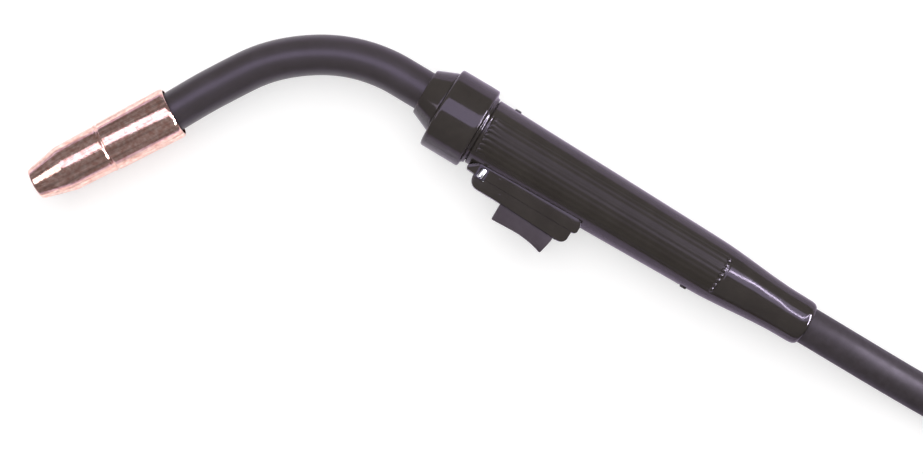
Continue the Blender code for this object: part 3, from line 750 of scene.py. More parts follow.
def grip_radius(x):
    """The grip's outside, smoothed through the profile's points."""
    if x < -67.0 or x > 116.0:
        pts = GRIP_PROFILE
        for (x0, r0), (x1, r1) in zip(pts, pts[1:]):
            if x <= x1:
                return r0 + (r1 - r0) * (x - x0) / (x1 - x0)
        return pts[-1][1]
    total = weight = 0.0
    for k in range(-6, 7):
        xx = min(116.0, max(-67.0, x + k * 1.1))
        w = math.exp(-((k / 3.2) ** 2))
        for (x0, r0), (x1, r1) in zip(GRIP_PROFILE, GRIP_PROFILE[1:]):
            if xx <= x1:
                total += w * (r0 + (r1 - r0) * (xx - x0) / (x1 - x0))
                weight += w
                break
    return total / weight


RIB_PITCH, RIBS = 2.8, 7
RIB_X = (-66.2, 70.2)
PANEL_X = (-67.2, 71.6)
RIB_MID = -1.3  # middle rib, across the grip from its axis
FLUTE = 0.15


def relief(x, across, r):
    """How far the ribbed panel lies under the plain surface, at a distance across."""
    k = (across - RIB_MID) / RIB_PITCH
    edge = RIBS / 2
    panel = step(-edge - 0.12, -edge + 0.12, k) * step(edge + 0.12, edge - 0.12, k)
    panel *= step(PANEL_X[0], PANEL_X[0] + 0.5, x) * (1 - step(PANEL_X[1] - 0.6, PANEL_X[1], x))
    if panel <= 0:
        return 0.0
    f = abs(k - round(k))  # 0 on a rib's middle, 0.5 in the flute
    rib = 0.5 + 0.5 * math.cos(2 * math.pi * f)
    end = min(x - RIB_X[0], RIB_X[1] - x)
    height = rib * step(-0.1, 0.9, end)
    q = math.hypot(f * RIB_PITCH, end - 1.1) / 1.2  # a small dome on each rib's end
    if q < 1:
        height = max(height, 1.0) + 5.2 * math.sqrt(1 - q * q) * (1 if x > 0 else 0.8)
    return FLUTE * panel * (1 - height)


def grip_shell(name, sign):
    xs_out = [-68.1, -67.85, -67.6, -67.3, -67.1, -66.9, -66.7, -66.5, -66.3, -66.1, -65.8, -65.5,
              -65.2, -64.5, -63.0]
    xs_out += list(np.linspace(-58, 66, 32))
    xs_out += [67.2, 67.9] + list(np.arange(68.1, 71.75, 0.13)) + [72.0, 73.0]
    xs_out += list(np.linspace(75, 116, 26))
    xs_out += [117.0, 117.8, 118.4, 118.8, 119.2, 119.5, 119.75, 119.9, 120.0]
    tail = {117.0: 11.76, 117.8: 11.66, 118.4: 11.52, 118.8: 11.38, 119.2: 11.17, 119.5: 10.97,
            119.75: 10.76, 119.9: 10.6, 120.0: 10.45}
    # angles across the outside, measured from the top of the shell
    fine = math.degrees(math.asin((3.9 * RIB_PITCH - RIB_MID) / 15.0))
    phis = list(np.linspace(-fine - 2, fine + 2, 150))
    rest = list(np.linspace(fine + 4, 90, 22))
    phis = [-p for p in rest[::-1]] + phis + rest
    inner_phis = list(np.linspace(90, -90, 41))
    profile_in = [(120.0, 10.05), (93.0, 10.05), (78.0, grip_radius(78.0) - WALL),
                  (65.0, grip_radius(65.0) - WALL), (32.0, grip_radius(32.0) - WALL),
                  (-60.0, grip_radius(-60.0) - WALL), (-72.0, 13.6), (-82.4, 13.6),
                  (-82.4, 13.2), (-85.4, 13.2)]

    def row(x, r, angles, ribbed):
        out = []
        for p in angles:
            a = math.radians(p)
            rr = r
            if ribbed:
                rr = r - relief(x, math.sin(a) * r, r)
            y = rr * math.sin(a)
            z = rr * math.cos(a)
            z = max(z, SEAM)
            out.append((x, GRIP_Y + y, AXIS_Z + sign * z))
        return out

    rows = []
    # the threaded spigot under the lock ring, then the outside
    rows.append(row(-85.4, 15.9, phis, False))
    x = -84.8
    while x < -69.3:
        rows.append(row(x, 16.4, phis, False))
        rows.append(row(x + 0.6, 15.9, phis, False))
        rows.append(row(x + 1.0, 15.9, phis, False))
        x += 1.6
    rows.append(row(-68.4, 16.4, phis, False))
    rows.append(row(-68.1, 16.4, phis, False))
    rows.append(row(-68.1, 17.0, phis, False))
    for x in xs_out:
        r = tail.get(round(x, 2), grip_radius(x))
        if x == -68.1:
            r = 17.25
        if x == -67.85:
            r = 17.55
        rows.append(row(x, r, phis, True))
    # the inside, on the same number of columns
    ins = [90.0 - 180.0 * k / (len(phis) - 1) for k in range(len(phis))][::-1]
    for x, r in profile_in:
        rows.append(row(x, r, ins, False))
    n = len(phis)
    verts = [W(*p) for r_ in rows for p in r_]
    faces = []
    total = len(rows)
    for i in range(total):
        j = (i + 1) % total
        for k in range(n - 1):
            faces.append([i * n + k, i * n + k + 1, j * n + k + 1, j * n + k])
    # the two seam faces: a strip between the outside and inside edges
    split = total - len(profile_in)
    for k in (0, n - 1):
        loop = [i * n + k for i in range(total)]
        faces.append(loop if k else loop[::-1])
    mesh = bpy.data.meshes.new(name)
    mesh.from_pydata([tuple(v) for v in verts], [], faces)
    bm = bmesh.new()
    bm.from_mesh(mesh)
    bmesh.ops.remove_doubles(bm, verts=bm.verts, dist=1e-8)
    big = [f for f in bm.faces if len(f.verts) > 6]
    if big:
        bmesh.ops.triangulate(bm, faces=big, ngon_method="EAR_CLIP")
    bmesh.ops.recalc_face_normals(bm, faces=bm.faces)
    bm.to_mesh(mesh)
    bm.free()
    mesh.materials.append(GRIP_NYLON)
    return link(bpy.data.objects.new(name, mesh))


upper = grip_shell("grip_shell_upper", 1)
lower = grip_shell("grip_shell_lower", -1)
POCKET = [(-66.05, -40.0), (-1.75, -40.0), (-1.75, -17.1), (-2.3, -15.2), (-3.6, -13.9),
          (-5.4, -13.25), (-5.4, -11.0), (-60.85, -11.0), (-60.85, -15.1), (-61.2, -15.4),
          (-66.05, -18.2)]
cut(upper, [plate("cut_a", POCKET, AXIS_Z - 9.5, AXIS_Z + 9.5, None, bevel=0)])
GRIP_SCREWS = [(-50.0, 11.6), (14.0, 10.2), (14.0, -11.1), (62.0, 9.3)]
cutters = [plate("cut_b", POCKET, AXIS_Z - 9.5, AXIS_Z + 9.5, None, bevel=0)]
for x, y in GRIP_SCREWS:
    cutters.append(cylinder("cut_c", (x, y, AXIS_Z - 30), (x, y, AXIS_Z - 4.2), 2.8, 36))
cut(lower, cutters)
for shell in (upper, lower):
    shade(shell.data, 34)
settle(upper, "grip", "handle_shell_left", slot="black_nylon")
settle(lower, "grip", "handle_shell_right", slot="black_nylon")

LUG_X = ((-57.9, 1), (57.6, -1))
for n, (x, sy) in enumerate(LUG_X, 1):
    edge = GRIP_Y + sy * grip_radius(x)
    y0, y1 = sorted((edge - sy * 0.9, edge + sy * 0.72))
    lug = plate(f"seam_lug_{n}", [(x - 1.7, y0), (x + 1.7, y0), (x + 1.7, y1), (x - 1.7, y1)],
                AXIS_Z + SEAM, AXIS_Z + 1.6, NYLON, bevel=0.3)
    shade(lug.data)
    settle(lug, "grip", slot="black_nylon")

for n, (x, y) in enumerate(GRIP_SCREWS, 1):
    top = axes_at((x, y, AXIS_Z - 6.1), (0, 0, 1), (1, 0, 0))
    body = lathe(f"grip_screw_{n}",
                 [(0.0, 0.0), (0.0, 1.7), (0.25, 2.2), (0.7, 2.5), (1.5, 2.5), (1.5, 1.25),
                  (11.0, 1.25), (11.0, 0.0)], top, STEEL, 40, soft=0.12)
    slots = [cube("cut_d", (x - 1.5, y - 0.3, AXIS_Z - 7), (x + 1.5, y + 0.3, AXIS_Z - 5.2)),
             cube("cut_e", (x - 0.3, y - 1.5, AXIS_Z - 7), (x + 0.3, y + 1.5, AXIS_Z - 5.2))]
    cut(body, slots)
    shade(body.data, 35)
    settle(body, "grip", f"handle_screw_{n}", slot="zinc_steel")
    # moulded well that the screw sits in
    reach = math.sqrt((grip_radius(x) - 1.2) ** 2 - (y - GRIP_Y) ** 2)
    well = lathe(f"screw_well_{n}", [(AXIS_Z - reach, 2.8), (AXIS_Z - reach, 3.7),
                                     (AXIS_Z - 4.2, 3.7), (AXIS_Z - 4.2, 2.8)],
                 axes_at((x, y, 0), (0, 0, 1), (1, 0, 0)), NYLON, 36, soft=0.0)
    settle(well, "grip", slot="black_nylon")

# ------------------------------------------------------------------ lock ring
RING_R = 21.5


def ring_mod(a, r, phi):
    """A shallow moulded mark in eight places round the rear of the ring."""
    if r < 21.3 or not -77.6 < a < -73.2:
        return r
    f = abs(((math.degrees(phi) + 9.0) % 45.0) - 22.5)
    return r - 0.28 * (1 - step(1.6, 2.5, f))


ring = lathe(
    "lock_ring_body",
    [(-92.0, 12.5), (-92.0, 20.4), (-91.85, 20.95), (-91.4, 21.36), (-90.8, 21.5), (-90.2, 21.5),
     (-78.4, 21.5), (-77.4, 21.5), (-75.4, 21.5), (-73.2, 21.5), (-71.5, 21.5), (-71.0, 21.42),
     (-70.6, 21.2), (-70.35, 20.8), (-70.0, 18.95), (-69.8, 18.55), (-69.4, 18.3),
     (-68.8, 18.2), (-68.5, 18.0),
     (-68.5, 16.9), (-88.9, 16.9),
     (-88.9, 12.5)],
    GRIP, NYLON, 160, soft=0.0, mod=ring_mod, angle=40,
)
settle(ring, "ring", "lock_ring", slot="black_nylon")

# ------------------------------------------------------------------ neck
collar = lathe(
    "neck_collar_cone",
    [(-103.0, 10.5), (-103.0, 11.7), (-102.85, 12.0), (-102.5, 12.25), (-102.0, 12.5),
     (-93.3, 16.2), (-92.9, 16.35), (-92.5, 16.4), (-92.3, 16.3), (-92.3, 9.2), (-88.9, 9.2),
     (-88.9, 6.4), (-98.8, 6.4), (-98.8, 10.5)],
    NECK, NYLON, 112, soft=0.0, angle=40,
)
settle(collar, "neck", "neck_collar", slot="black_nylon")


def bow(u):
    """How far the tube stands outside the plain bend, at a length along it."""
    return 1.38 * step(45.0, 88.0, u) * (1 - step(98.0, 134.0, u))


def neck_path(start_x, end_leg, n=48):
    pts = [(start_x, NECK_Y, AXIS_Z)]
    x0 = CORNER[0] + TANGENT
    pts += [(x, NECK_Y, AXIS_Z) for x in np.linspace(start_x, x0, 8)[1:-1]]
    cx, cy = x0, NECK_Y - BEND_R
    for i in range(n + 1):
        a = math.radians(90.0) + TH * i / n
        r = BEND_R + bow(BEND_R * TH * i / n)
        pts.append((cx + r * math.cos(a), cy + r * math.sin(a), AXIS_Z))
    for s in np.linspace(TANGENT, end_leg, 22)[1:]:
        out = bow(BEND_R * TH + s - TANGENT)
        p = leg_point(s)
        pts.append((p[0] + LEG.y * out, p[1] - LEG.x * out, p[2]))
    return pts


jacket = sweep("neck_sleeve_tube", neck_path(-99.2, 90.8), 10.15, SLEEVE, 72, 6.4, 0.5)
settle(jacket, "neck", "neck_jacket", slot="neck_sleeve")
pipe = sweep("neck_copper_tube", neck_path(-58.5, 113.0), 6.0, TIP_CU, 40, 3.0, 0.2)
settle(pipe, "neck", "conductor_tube", slot="tube_copper")

# ------------------------------------------------------------------ nozzle end
LN = 86.1
nozzle = lathe(
    "nozzle_barrel",
    [(LN, 12.15), (LN, 12.6), (LN + 0.1, 12.85), (LN + 0.3, 13.0), (LN + 1.3, 13.42),
     (LN + 1.8, 13.5),
     (LN + 18.0, 13.3), (LN + 36.2, 13.06), (LN + 36.7, 13.0), (LN + 36.95, 12.75),
     (LN + 37.1, 12.35), (LN + 37.4, 12.22), (LN + 37.8, 12.25), (LN + 38.0, 12.45),
     (LN + 38.25, 12.72), (LN + 38.7, 12.78), (LN + 39.2, 12.68), (LN + 39.7, 12.5),
     (LN + 40.4, 12.44), (LN + 50.0, 12.28), (LN + 60.0, 12.12), (LN + 61.2, 12.0),
     (LN + 62.2, 11.8), (LN + 76.9, 8.35), (LN + 77.5, 8.15), (LN + 77.85, 7.85),
     (LN + 78.0, 7.5), (LN + 78.0, 6.5), (LN + 77.8, 6.25), (LN + 77.0, 6.3), (LN + 63.0, 9.9),
     (LN + 40.5, 10.7), (LN + 35.5, 12.1), (LN + 1.0, 12.1)],
    NOZ, COPPER, 160, soft=0.0, angle=44,
)
settle(nozzle, "nozzle", "nozzle", slot="nozzle_copper")
ins = lathe(
    "nozzle_insulator_body",
    [(91.2, 6.4), (91.2, 11.2), (97.9, 11.2), (97.9, 10.0), (101.2, 10.0), (101.2, 11.2),
     (107.4, 11.2), (108.2, 10.4), (108.2, 6.4)], NOZ, PHENOLIC, 80, soft=0.25)
settle(ins, "neck", "nozzle_insulator", slot="phenolic")
clip = lathe(
    "nozzle_spring_ring",
    [(98.2, 10.4), (98.2, 11.3), (98.7, 11.7), (100.4, 11.7), (100.9, 11.3), (100.9, 10.4)],
    NOZ, STEEL, 80, soft=0.25)
settle(clip, "neck", "nozzle_retaining_ring", slot="zinc_steel")
diff = lathe(
    "gas_diffuser_body",
    [(108.6, 6.4), (108.6, 8.6), (112.0, 8.6), (112.0, 7.6), (124.0, 7.6), (127.5, 5.6),
     (127.5, 3.3), (113.6, 3.3), (113.6, 6.4)], NOZ, BRASS, 72, soft=0.25)
ports = []
for n in range(3):
    a = math.radians(30 + 60 * n)
    u = Vector((0, 0, 1)) * math.cos(a) + LEG.cross(Vector((0, 0, 1))) * math.sin(a)
    p = Vector(leg_point(118.5))
    ports.append(cylinder("cut_f", tuple(p - u * 12), tuple(p + u * 12), 1.0, 20))
cut(diff, ports)
shade(diff.data, 35)
settle(diff, "neck", "gas_diffuser", slot="brass")
tip = lathe(
    "contact_tip_body",
    [(121.0, 0.7), (121.0, 2.95), (127.9, 2.95), (127.9, 4.0), (154.5, 4.0), (157.4, 2.9),
     (158.0, 2.3), (158.0, 0.7)], NOZ, TIP_CU, 56, soft=0.2)
settle(tip, "neck", "contact_tip", slot="tube_copper")

# ------------------------------------------------------------------ trigger group
PIVOT = (-55.0, -23.0)


def arc(cx, cy, r, a0, a1, n):
    return [(cx + r * math.cos(math.radians(a0 + (a1 - a0) * i / n)),
             cy + r * math.sin(math.radians(a0 + (a1 - a0) * i / n))) for i in range(n + 1)]


flange = plate(
    "trigger_case",
    [(-65.7, -18.5), (-65.7, -19.7), (-65.5, -20.3), (-65.0, -20.7), (-61.0, -21.0),
     (-3.4, -21.0), (-2.6, -20.7), (-2.1, -19.8), (-2.1, -17.2), (-2.6, -15.5), (-3.8, -14.25),
     (-5.6, -13.6), (-8.0, -12.6), (-59.6, -12.6), (-60.3, -13.3), (-60.5, -15.3),
     (-61.0, -15.75), (-65.2, -18.15)],
    AXIS_Z - 9.2, AXIS_Z + 9.2, NYLON, bevel=0.25, segments=3, angle=50)
lower_case = plate(
    "cut_g",
    [(-61.0, -18.5)] + arc(-55.8, -22.0, 5.1, 180, 268, 14) + [(-42.5, -27.1), (-9.6, -28.3)]
    + arc(-8.0, -24.8, 3.4, 275, 358, 10) + [(-4.5, -18.5)],
    AXIS_Z - 8.0, AXIS_Z + 8.0, NYLON, bevel=0.55, segments=3, angle=60)
cut(flange, [lower_case], "UNION")
cut(flange, [
    plate("cut_h", [(-58.9, -10.0), (-58.9, -25.8), (-42.8, -25.8), (-42.8, -26.3),
                    (-9.3, -26.3), (-6.0, -25.0), (-6.0, -10.0)],
          AXIS_Z - 6.3, AXIS_Z + 6.3, None, bevel=0),
    cube("cut_i", (-42.6, -35, AXIS_Z - 6.3), (-9.3, -24, AXIS_Z + 6.3)),
    cube("cut_j", (-60.2, -22.0, AXIS_Z + 6.85), (-54.9, -16.0, AXIS_Z + 10.5)),
    cylinder("cut_k", (*PIVOT, AXIS_Z - 12.0), (*PIVOT, AXIS_Z + 7.0), 1.55, 32),
])
for v in flange.data.vertices:  # the broad faces lean away from the handle
    up = v.co.z * 1000 - AXIS_Z
    y = v.co.y * 1000 + OY
    if abs(up) > 6.9:
        fall = max(0.0, (-13.0 if abs(up) > 8.2 else -19.0) - y) * 0.11
        v.co.z -= math.copysign(fall * min(1.0, (abs(up) - 6.9) / 0.6), up) / 1000
shade(flange.data, 34)
settle(flange, "grip", "trigger_housing", slot="black_nylon")
for n, (x, y) in enumerate(((-48.5, -16.9), (-44.6, -23.4)), 1):
    dz = 9.2 - (-13.0 - y) * 0.11 if n == 1 else 8.0 - (-19.0 - y) * 0.11
    dot = lathe(f"mould_dot_{n}", [(0, 0), (0, 0.42), (0.1, 0.36), (0.14, 0.0)],
                axes_at((x, y, AXIS_Z + dz - 0.06), (0, 0, 1), (1, 0, 0)), NYLON, 24, soft=0.0)
    settle(dot, "grip", slot="black_nylon")

hs = lathe("trigger_case_screw",
           [(-21.6, 0.0), (-21.6, 1.35), (-21.35, 1.7), (-21.0, 1.85), (-17.0, 1.85),
            (-16.6, 1.7), (-16.4, 1.35), (-16.4, 0.0)],
           axes_at((-57.5, 0.0, AXIS_Z + 9.05), (0, 1, 0)), STEEL, 48, soft=0.0)
cut(hs, [cube("cut_l", (-57.78, -22.0, AXIS_Z + 7), (-57.22, -21.0, AXIS_Z + 11))])
shade(hs.data, 35)
settle(hs, "grip", "trigger_housing_screw", slot="zinc_steel")
pin = lathe("trigger_pin", [(AXIS_Z - 7.7, 0), (AXIS_Z - 7.7, 1.25), (AXIS_Z + 6.9, 1.25),
                            (AXIS_Z + 6.9, 0)],
            axes_at((*PIVOT, 0), (0, 0, 1), (1, 0, 0)), STEEL, 32, soft=0.2)
settle(pin, "grip", "trigger_pivot_pin", slot="zinc_steel")

lever = plate(
    "trigger_lever_body",
    arc(PIVOT[0], PIVOT[1], 2.5, 80, 270, 12)
    + [(-50.0, -24.6), (-41.95, -24.8), (-41.95, -35.0), (-41.8, -35.6), (-41.4, -35.9),
       (-38.0, -35.75), (-34.0, -35.55), (-30.0, -35.4), (-26.0, -35.38), (-22.0, -35.75),
       (-18.0, -36.4), (-15.0, -37.15), (-13.2, -37.8), (-12.8, -37.75), (-12.5, -37.3),
       (-10.9, -30.0), (-11.3, -20.0), (-12.0, -19.5), (-52.0, -19.5), (-53.5, -20.2)],
    AXIS_Z - 5.8, AXIS_Z + 5.8, LEVER, bevel=0.45, segments=3, angle=50)
cut(lever, [cylinder("cut_m", (*PIVOT, AXIS_Z - 9.0), (*PIVOT, AXIS_Z + 9.0), 1.55, 32),
            cylinder("cut_r", (-47.3, -20.5, AXIS_Z), (-47.3, -17.0, AXIS_Z), 2.5, 32)])
shade(lever.data, 34)
settle(lever, "trigger", "trigger_lever", slot="trigger_plastic")

# ------------------------------------------------------------------ the plug end


def boot_profile():
    """Outside of the bend relief, with rounded rings that get smaller towards the cable."""
    out = [(186.4, 6.0), (186.4, 14.9), (186.7, 15.3), (187.2, 15.4)]
    x = 190.5

    def env(x):
        return 15.4 - (x - 200.0) / 44.8 * 3.4 if x > 200 else 15.4

    while x < 238.0:
        w = 3.3
        out += [(x, env(x)), (x + 0.45, env(x) - 1.5), (x + 1.45, env(x) - 1.5),
                (x + 1.9, env(x) - 0.15)]
        x += 1.9 + w
    out += [(243.6, 12.05), (245.2, 11.7), (246.0, 11.0), (246.0, 10.1), (206.0, 10.1),
            (206.0, 6.0)]
    return out


boot = lathe("bend_relief", boot_profile(), PLUG, CABLE, 96, soft=0.35)
settle(boot, "grip", "plug_strain_relief", slot="cable_rubber")


def housing_mod(a, r, phi):
    """Finger scallops round the plug's grip."""
    if r < 19.0 or not 130.0 < a < 185.0:
        return r
    f = math.cos(phi * 8)
    amount = step(172.0, 166.0, a) * step(148.0, 153.0, a)
    return r - 0.9 * amount * step(0.2, 0.95, f)


plug_rows = [(186.0, 10.0), (186.0, 16.6), (185.6, 17.1), (184.0, 18.6), (182.0, 19.6)]
plug_rows += [(x, 21.6 - (x - 150.0) * 0.0275) for x in np.linspace(178.0, 149.5, 20)]
plug_rows += [(148.6, 22.4), (147.2, 24.1), (146.6, 24.5), (145.8, 24.6), (142.6, 24.6),
              (142.3, 24.2), (141.3, 24.2), (141.0, 24.6), (138.6, 24.6), (138.3, 24.2),
              (137.3, 24.2), (137.0, 24.6), (134.6, 24.6), (134.3, 24.2), (133.3, 24.2),
              (133.0, 24.6), (131.0, 24.5), (130.3, 24.2), (128.2, 22.7), (128.0, 22.3),
              (128.0, 12.6), (132.0, 12.6), (132.0, 17.6), (180.0, 17.6), (180.0, 10.0)]
plug = lathe("plug_housing_body", plug_rows, PLUG, NYLON, 192, soft=0.0, mod=housing_mod, angle=40)
cut(plug, [cylinder("cut_n", (160.0, PLUG_Y, PLUG_Z + s * 17.0), (160.0, PLUG_Y, PLUG_Z + s * 30.0),
                    1.95, 32) for s in (1, -1)])
shade(plug.data, 36)
settle(plug, "grip", "plug_housing", slot="black_nylon")
for n, s in enumerate((1, -1), 1):
    m = axes_at((160.0, PLUG_Y, PLUG_Z), (0, 0, s), (1, 0, 0))
    sc = lathe(f"plug_screw_{n}", [(9.5, 0.0), (9.5, 1.6), (20.4, 1.6), (20.9, 1.3), (21.1, 0.0)],
               m, STEEL, 36, soft=0.0)
    zs = sorted((PLUG_Z + s * 20.2, PLUG_Z + s * 22.0))
    cut(sc, [cube("cut_o", (158.9, PLUG_Y - 0.22, zs[0]), (161.1, PLUG_Y + 0.22, zs[1])),
             cube("cut_p", (159.78, PLUG_Y - 1.1, zs[0]), (160.22, PLUG_Y + 1.1, zs[1]))])
    shade(sc.data, 35)
    settle(sc, "grip", f"plug_housing_screw_{n}", slot="zinc_steel")


def nut_mod(a, r, phi):
    """Round grip ribs along the nut, between plain bands at both ends."""
    if r < 22.0 or not 100.8 < a < 126.2:
        return r
    f = (math.degrees(phi) % 12.0) / 12.0
    wave = abs(math.sin(math.pi * f)) ** 0.6
    return 22.7 + (r - 22.7) * wave if r > 22.7 else r


nut = lathe(
    "hand_nut_body",
    [(99.0, 19.7), (99.0, 22.4), (99.2, 22.7), (100.0, 23.5), (100.4, 23.6), (101.6, 23.6),
     (101.9, 23.6), (124.6, 23.6), (124.9, 23.6), (126.3, 23.6), (126.7, 23.5), (127.4, 22.8),
     (127.5, 22.5), (127.5, 12.0), (123.0, 12.0), (123.0, 19.7)],
    PLUG, NYLON, 240, soft=0.0, mod=nut_mod, angle=40)
settle(nut, "plug_nut", "hand_nut", slot="black_nylon")
pb = lathe(
    "plug_body_metal",
    [(104.0, 0.0), (104.0, 13.2), (104.6, 13.8), (118.6, 13.8), (118.6, 18.3), (118.9, 18.6),
     (122.1, 18.6), (122.4, 18.3), (122.4, 11.4), (130.0, 11.4), (134.0, 9.0), (178.0, 9.0),
     (178.0, 0.0)], PLUG, BRASS, 96, soft=0.2)
face = lathe("plug_face_insulator",
             [(101.4, 5.8), (101.4, 12.8), (101.9, 13.4), (103.7, 13.4), (103.7, 5.8)],
             PLUG, PHENOLIC, 96, soft=0.2)
for part in (pb, face):
    cut(part, [cylinder("cut_q", (90.0, PLUG_Y + dy, PLUG_Z), (115.5, PLUG_Y + dy, PLUG_Z), 2.2, 32)
               for dy in (9.6, -9.6)])
    shade(part.data, 35)
settle(pb, "grip", "plug_body", slot="brass")
settle(face, "grip", "plug_insulator", slot="phenolic")
nip = lathe(
    "gas_nipple_tube",
    [(76.0, 1.6), (76.0, 4.6), (77.0, 5.4), (83.0, 5.4), (83.0, 4.4), (85.6, 4.4), (85.6, 5.4),
     (103.7, 5.4), (103.7, 1.6)], PLUG, BRASS, 64, soft=0.2)
settle(nip, "grip", "gas_nipple", slot="brass")
seal = lathe("nipple_o_ring",
             [(84.3 + 1.0 * math.cos(math.radians(a)), 5.32 + 0.88 * math.sin(math.radians(a)))
              for a in range(0, 360, 30)], PLUG, SEAL, 64, soft=0.0, angle=80)
settle(seal, "grip", "nipple_seal", slot="seal_rubber")
ln = lathe("liner_nut_body", [(71.5, 1.2), (71.5, 3.4), (72.0, 4.1), (75.2, 4.2), (75.7, 3.9),
                              (75.7, 1.2)], PLUG, STEEL, 6, soft=0.1, angle=20)
settle(ln, "grip", "liner_nut", slot="zinc_steel")
for which, dy in (("a", 9.6), ("b", -9.6)):
    cp = lathe(f"contact_{which}_pin",
               [(93.5, 0.0), (93.5, 0.9), (93.8, 1.4), (94.6, 1.75), (95.2, 1.8), (110.5, 1.8),
                (110.5, 0.0)], axes_at((0.0, PLUG_Y + dy, PLUG_Z), (1, 0, 0)), BRASS, 40, soft=0.1)
    settle(cp, f"contact_{which}", f"contact_pin_{which}", slot="brass")

# ------------------------------------------------------------------ light and ground
scene = bpy.context.scene
scene.view_settings.view_transform = "Standard"


def area(name, centre, aim, size, power, colour=(1, 1, 1), glossy=True, turn=0.0, diffuse=True):
    data = bpy.data.lights.new(name, "AREA")
    data.shape = "RECTANGLE"
    data.size, data.size_y = size
    data.energy = power
    data.color = colour
    obj = link(bpy.data.objects.new(name, data))
    obj.location = centre
    z = (Vector(centre) - Vector(aim)).normalized()
    side = Matrix.Rotation(math.radians(turn), 3, "Z") @ IMG_RIGHT
    x = side - z * side.dot(z)
    x.normalize()
    y = z.cross(x)
    m = Matrix((x, y, z)).transposed().to_4x4()
    m.translation = Vector(centre)
    obj.matrix_world = m
    obj.visible_glossy = glossy
    obj.visible_diffuse = diffuse
    return obj


MID = Vector((0.0, 0.0, AXIS_Z / 1000))
UP = Vector((0, 0, 1))


def at(angle, distance, side=0.0):
    """A place `angle` degrees from overhead towards image-up, `side` metres to the right."""
    a = math.radians(angle)
    return MID + (IMG_UP * math.sin(a) + UP * math.cos(a)) * distance + IMG_RIGHT * side


def from_middle(right, up, height=1.45):
    """The place at this height whose direction from the torch is given by two slopes."""
    return MID + (IMG_RIGHT * right + IMG_UP * up + UP) * height


# broad light on the ground and on matt surfaces, kept out of reflections
area("wash", at(16, 1.9), MID, (2.8, 2.4), 48.0, (1.0, 0.985, 0.985), glossy=False)
# the soft source that shows as a lilac band in glossy surfaces
area("soft_panel", from_middle(0.18, 0.205), MID, (3.3, 0.86), 21.0, (0.90, 0.87, 1.06),
     diffuse=False, turn=2.0)
area("nozzle_panel", from_middle(-0.926, -0.072), MID, (0.64, 0.87), 5.4, (1.0, 0.97, 0.98),
     diffuse=False, turn=24.5)
# a thin lamp that gives the white lines, and one low on the right for the glints on edges
area("strip", from_middle(0.74, 0.315), MID, (1.30, 0.05), 6.5, (1, 1, 1), diffuse=False,
     turn=32.0)
area("side_lamp", from_middle(1.80, -0.10, 0.8), MID, (0.34, 1.30), 64.0, (1, 1, 1),
     diffuse=False, turn=-4.0)

world = bpy.data.worlds.new("studio")
scene.world = world
world.use_nodes = True
wn = world.node_tree
bg = wn.nodes["Background"]
bg.inputs["Color"].default_value = (1.0, 0.97, 0.98, 1)
bg.inputs["Strength"].default_value = 0.26

floor_mesh = bpy.data.meshes.new("floor")
floor_mesh.from_pydata([(-3, -3, 0), (3, -3, 0), (3, 3, 0), (-3, 3, 0)], [], [(0, 1, 2, 3)])
floor = link(bpy.data.objects.new("floor", floor_mesh))
fm = bpy.data.materials.new("ground_white")
fm.use_nodes = True
nt = fm.node_tree
b = nt.nodes["Principled BSDF"]
b.inputs["Roughness"].default_value = 0.85
b.inputs["Specular IOR Level"].default_value = 0.15
tc = nt.nodes.new("ShaderNodeTexCoord")
nz = node(nt, "ShaderNodeTexNoise", Scale=3.0, Detail=2.0)
nt.links.new(tc.outputs["Object"], nz.inputs["Vector"])
rp = nt.nodes.new("ShaderNodeValToRGB")
rp.color_ramp.elements[0].color = (0.93, 0.93, 0.94, 1)
rp.color_ramp.elements[1].color = (0.95, 0.945, 0.955, 1)
nt.links.new(nz.outputs["Fac"], rp.inputs["Fac"])
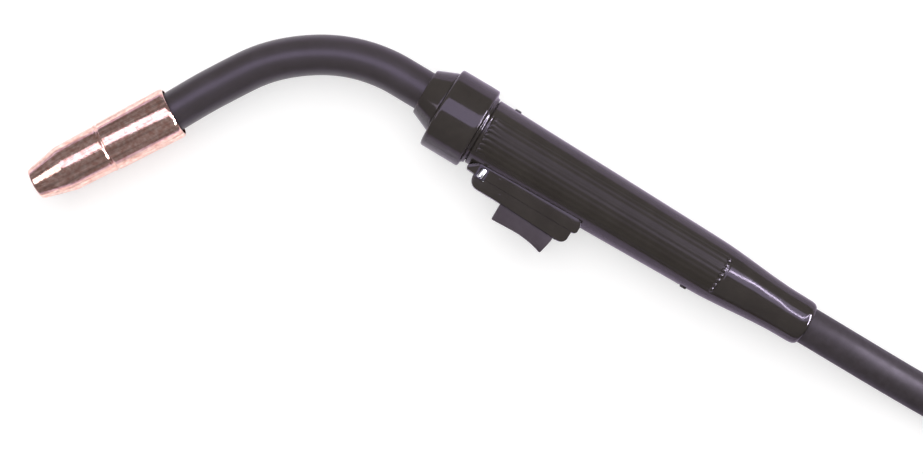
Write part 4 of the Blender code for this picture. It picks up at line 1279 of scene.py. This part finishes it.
# The ground looks evenly bright from above, and keeps a soft shadow. To reflected rays only it is
# painted: a painted lilac reflection tint for the glossy plastic, and beside the copper nozzle
# near-white with a glow of its own, a painted reflection that brightens the nozzle's sides.
lp = nt.nodes.new("ShaderNodeLightPath")
away = nt.nodes.new("ShaderNodeVectorMath")
away.operation = "DISTANCE"
nt.links.new(tc.outputs["Object"], away.inputs[0])
away.inputs[1].default_value = W(*leg_point(125.0, -AXIS_Z))
# mask for the painted lilac reflection tint: none beside the nozzle, full further away
painted_tint_mask = nt.nodes.new("ShaderNodeMapRange")
painted_tint_mask.inputs["From Min"].default_value = 0.11
painted_tint_mask.inputs["From Max"].default_value = 0.20
nt.links.new(away.outputs["Value"], painted_tint_mask.inputs["Value"])
# painted reflection tint: near-white beside the nozzle, lilac further off, seen by reflected rays
# only
painted_reflection_tint = nt.nodes.new("ShaderNodeMix")
painted_reflection_tint.data_type = "RGBA"
nt.links.new(painted_tint_mask.outputs["Result"], painted_reflection_tint.inputs["Factor"])
painted_reflection_tint.inputs["A"].default_value = (0.98, 0.98, 1.0, 1)
painted_reflection_tint.inputs["B"].default_value = (0.88, 0.76, 1.0, 1)
mix = nt.nodes.new("ShaderNodeMix")
mix.data_type = "RGBA"
nt.links.new(lp.outputs["Is Glossy Ray"], mix.inputs["Factor"])
nt.links.new(rp.outputs["Color"], mix.inputs["A"])
nt.links.new(painted_reflection_tint.outputs["Result"], mix.inputs["B"])
seen = nt.nodes.new("ShaderNodeMix")
seen.data_type = "RGBA"
nt.links.new(lp.outputs["Is Camera Ray"], seen.inputs["Factor"])
nt.links.new(mix.outputs["Result"], seen.inputs["A"])
seen.inputs["B"].default_value = (0.48, 0.48, 0.48, 1)
nt.links.new(seen.outputs["Result"], b.inputs["Base Color"])
glow = nt.nodes.new("ShaderNodeMath")
glow.operation = "MULTIPLY"
glow.inputs[1].default_value = 0.6
nt.links.new(lp.outputs["Is Camera Ray"], glow.inputs[0])
# painted reflection: the ground glows beside the nozzle, up to 0.27, seen only in reflections
painted_nozzle_glow = nt.nodes.new("ShaderNodeMapRange")
painted_nozzle_glow.inputs["From Min"].default_value = 0.20
painted_nozzle_glow.inputs["From Max"].default_value = 0.11
painted_nozzle_glow.inputs["To Max"].default_value = 0.27
nt.links.new(away.outputs["Value"], painted_nozzle_glow.inputs["Value"])
# emission: the even 0.6 glow the camera sees, plus the painted reflection glow beside the nozzle
sheen = nt.nodes.new("ShaderNodeMath")
sheen.operation = "MULTIPLY_ADD"
nt.links.new(lp.outputs["Is Glossy Ray"], sheen.inputs[0])
nt.links.new(painted_nozzle_glow.outputs["Result"], sheen.inputs[1])
nt.links.new(glow.outputs["Value"], sheen.inputs[2])
b.inputs["Emission Color"].default_value = (1, 1, 1, 1)
nt.links.new(sheen.outputs["Value"], b.inputs["Emission Strength"])
floor_mesh.materials.append(fm)
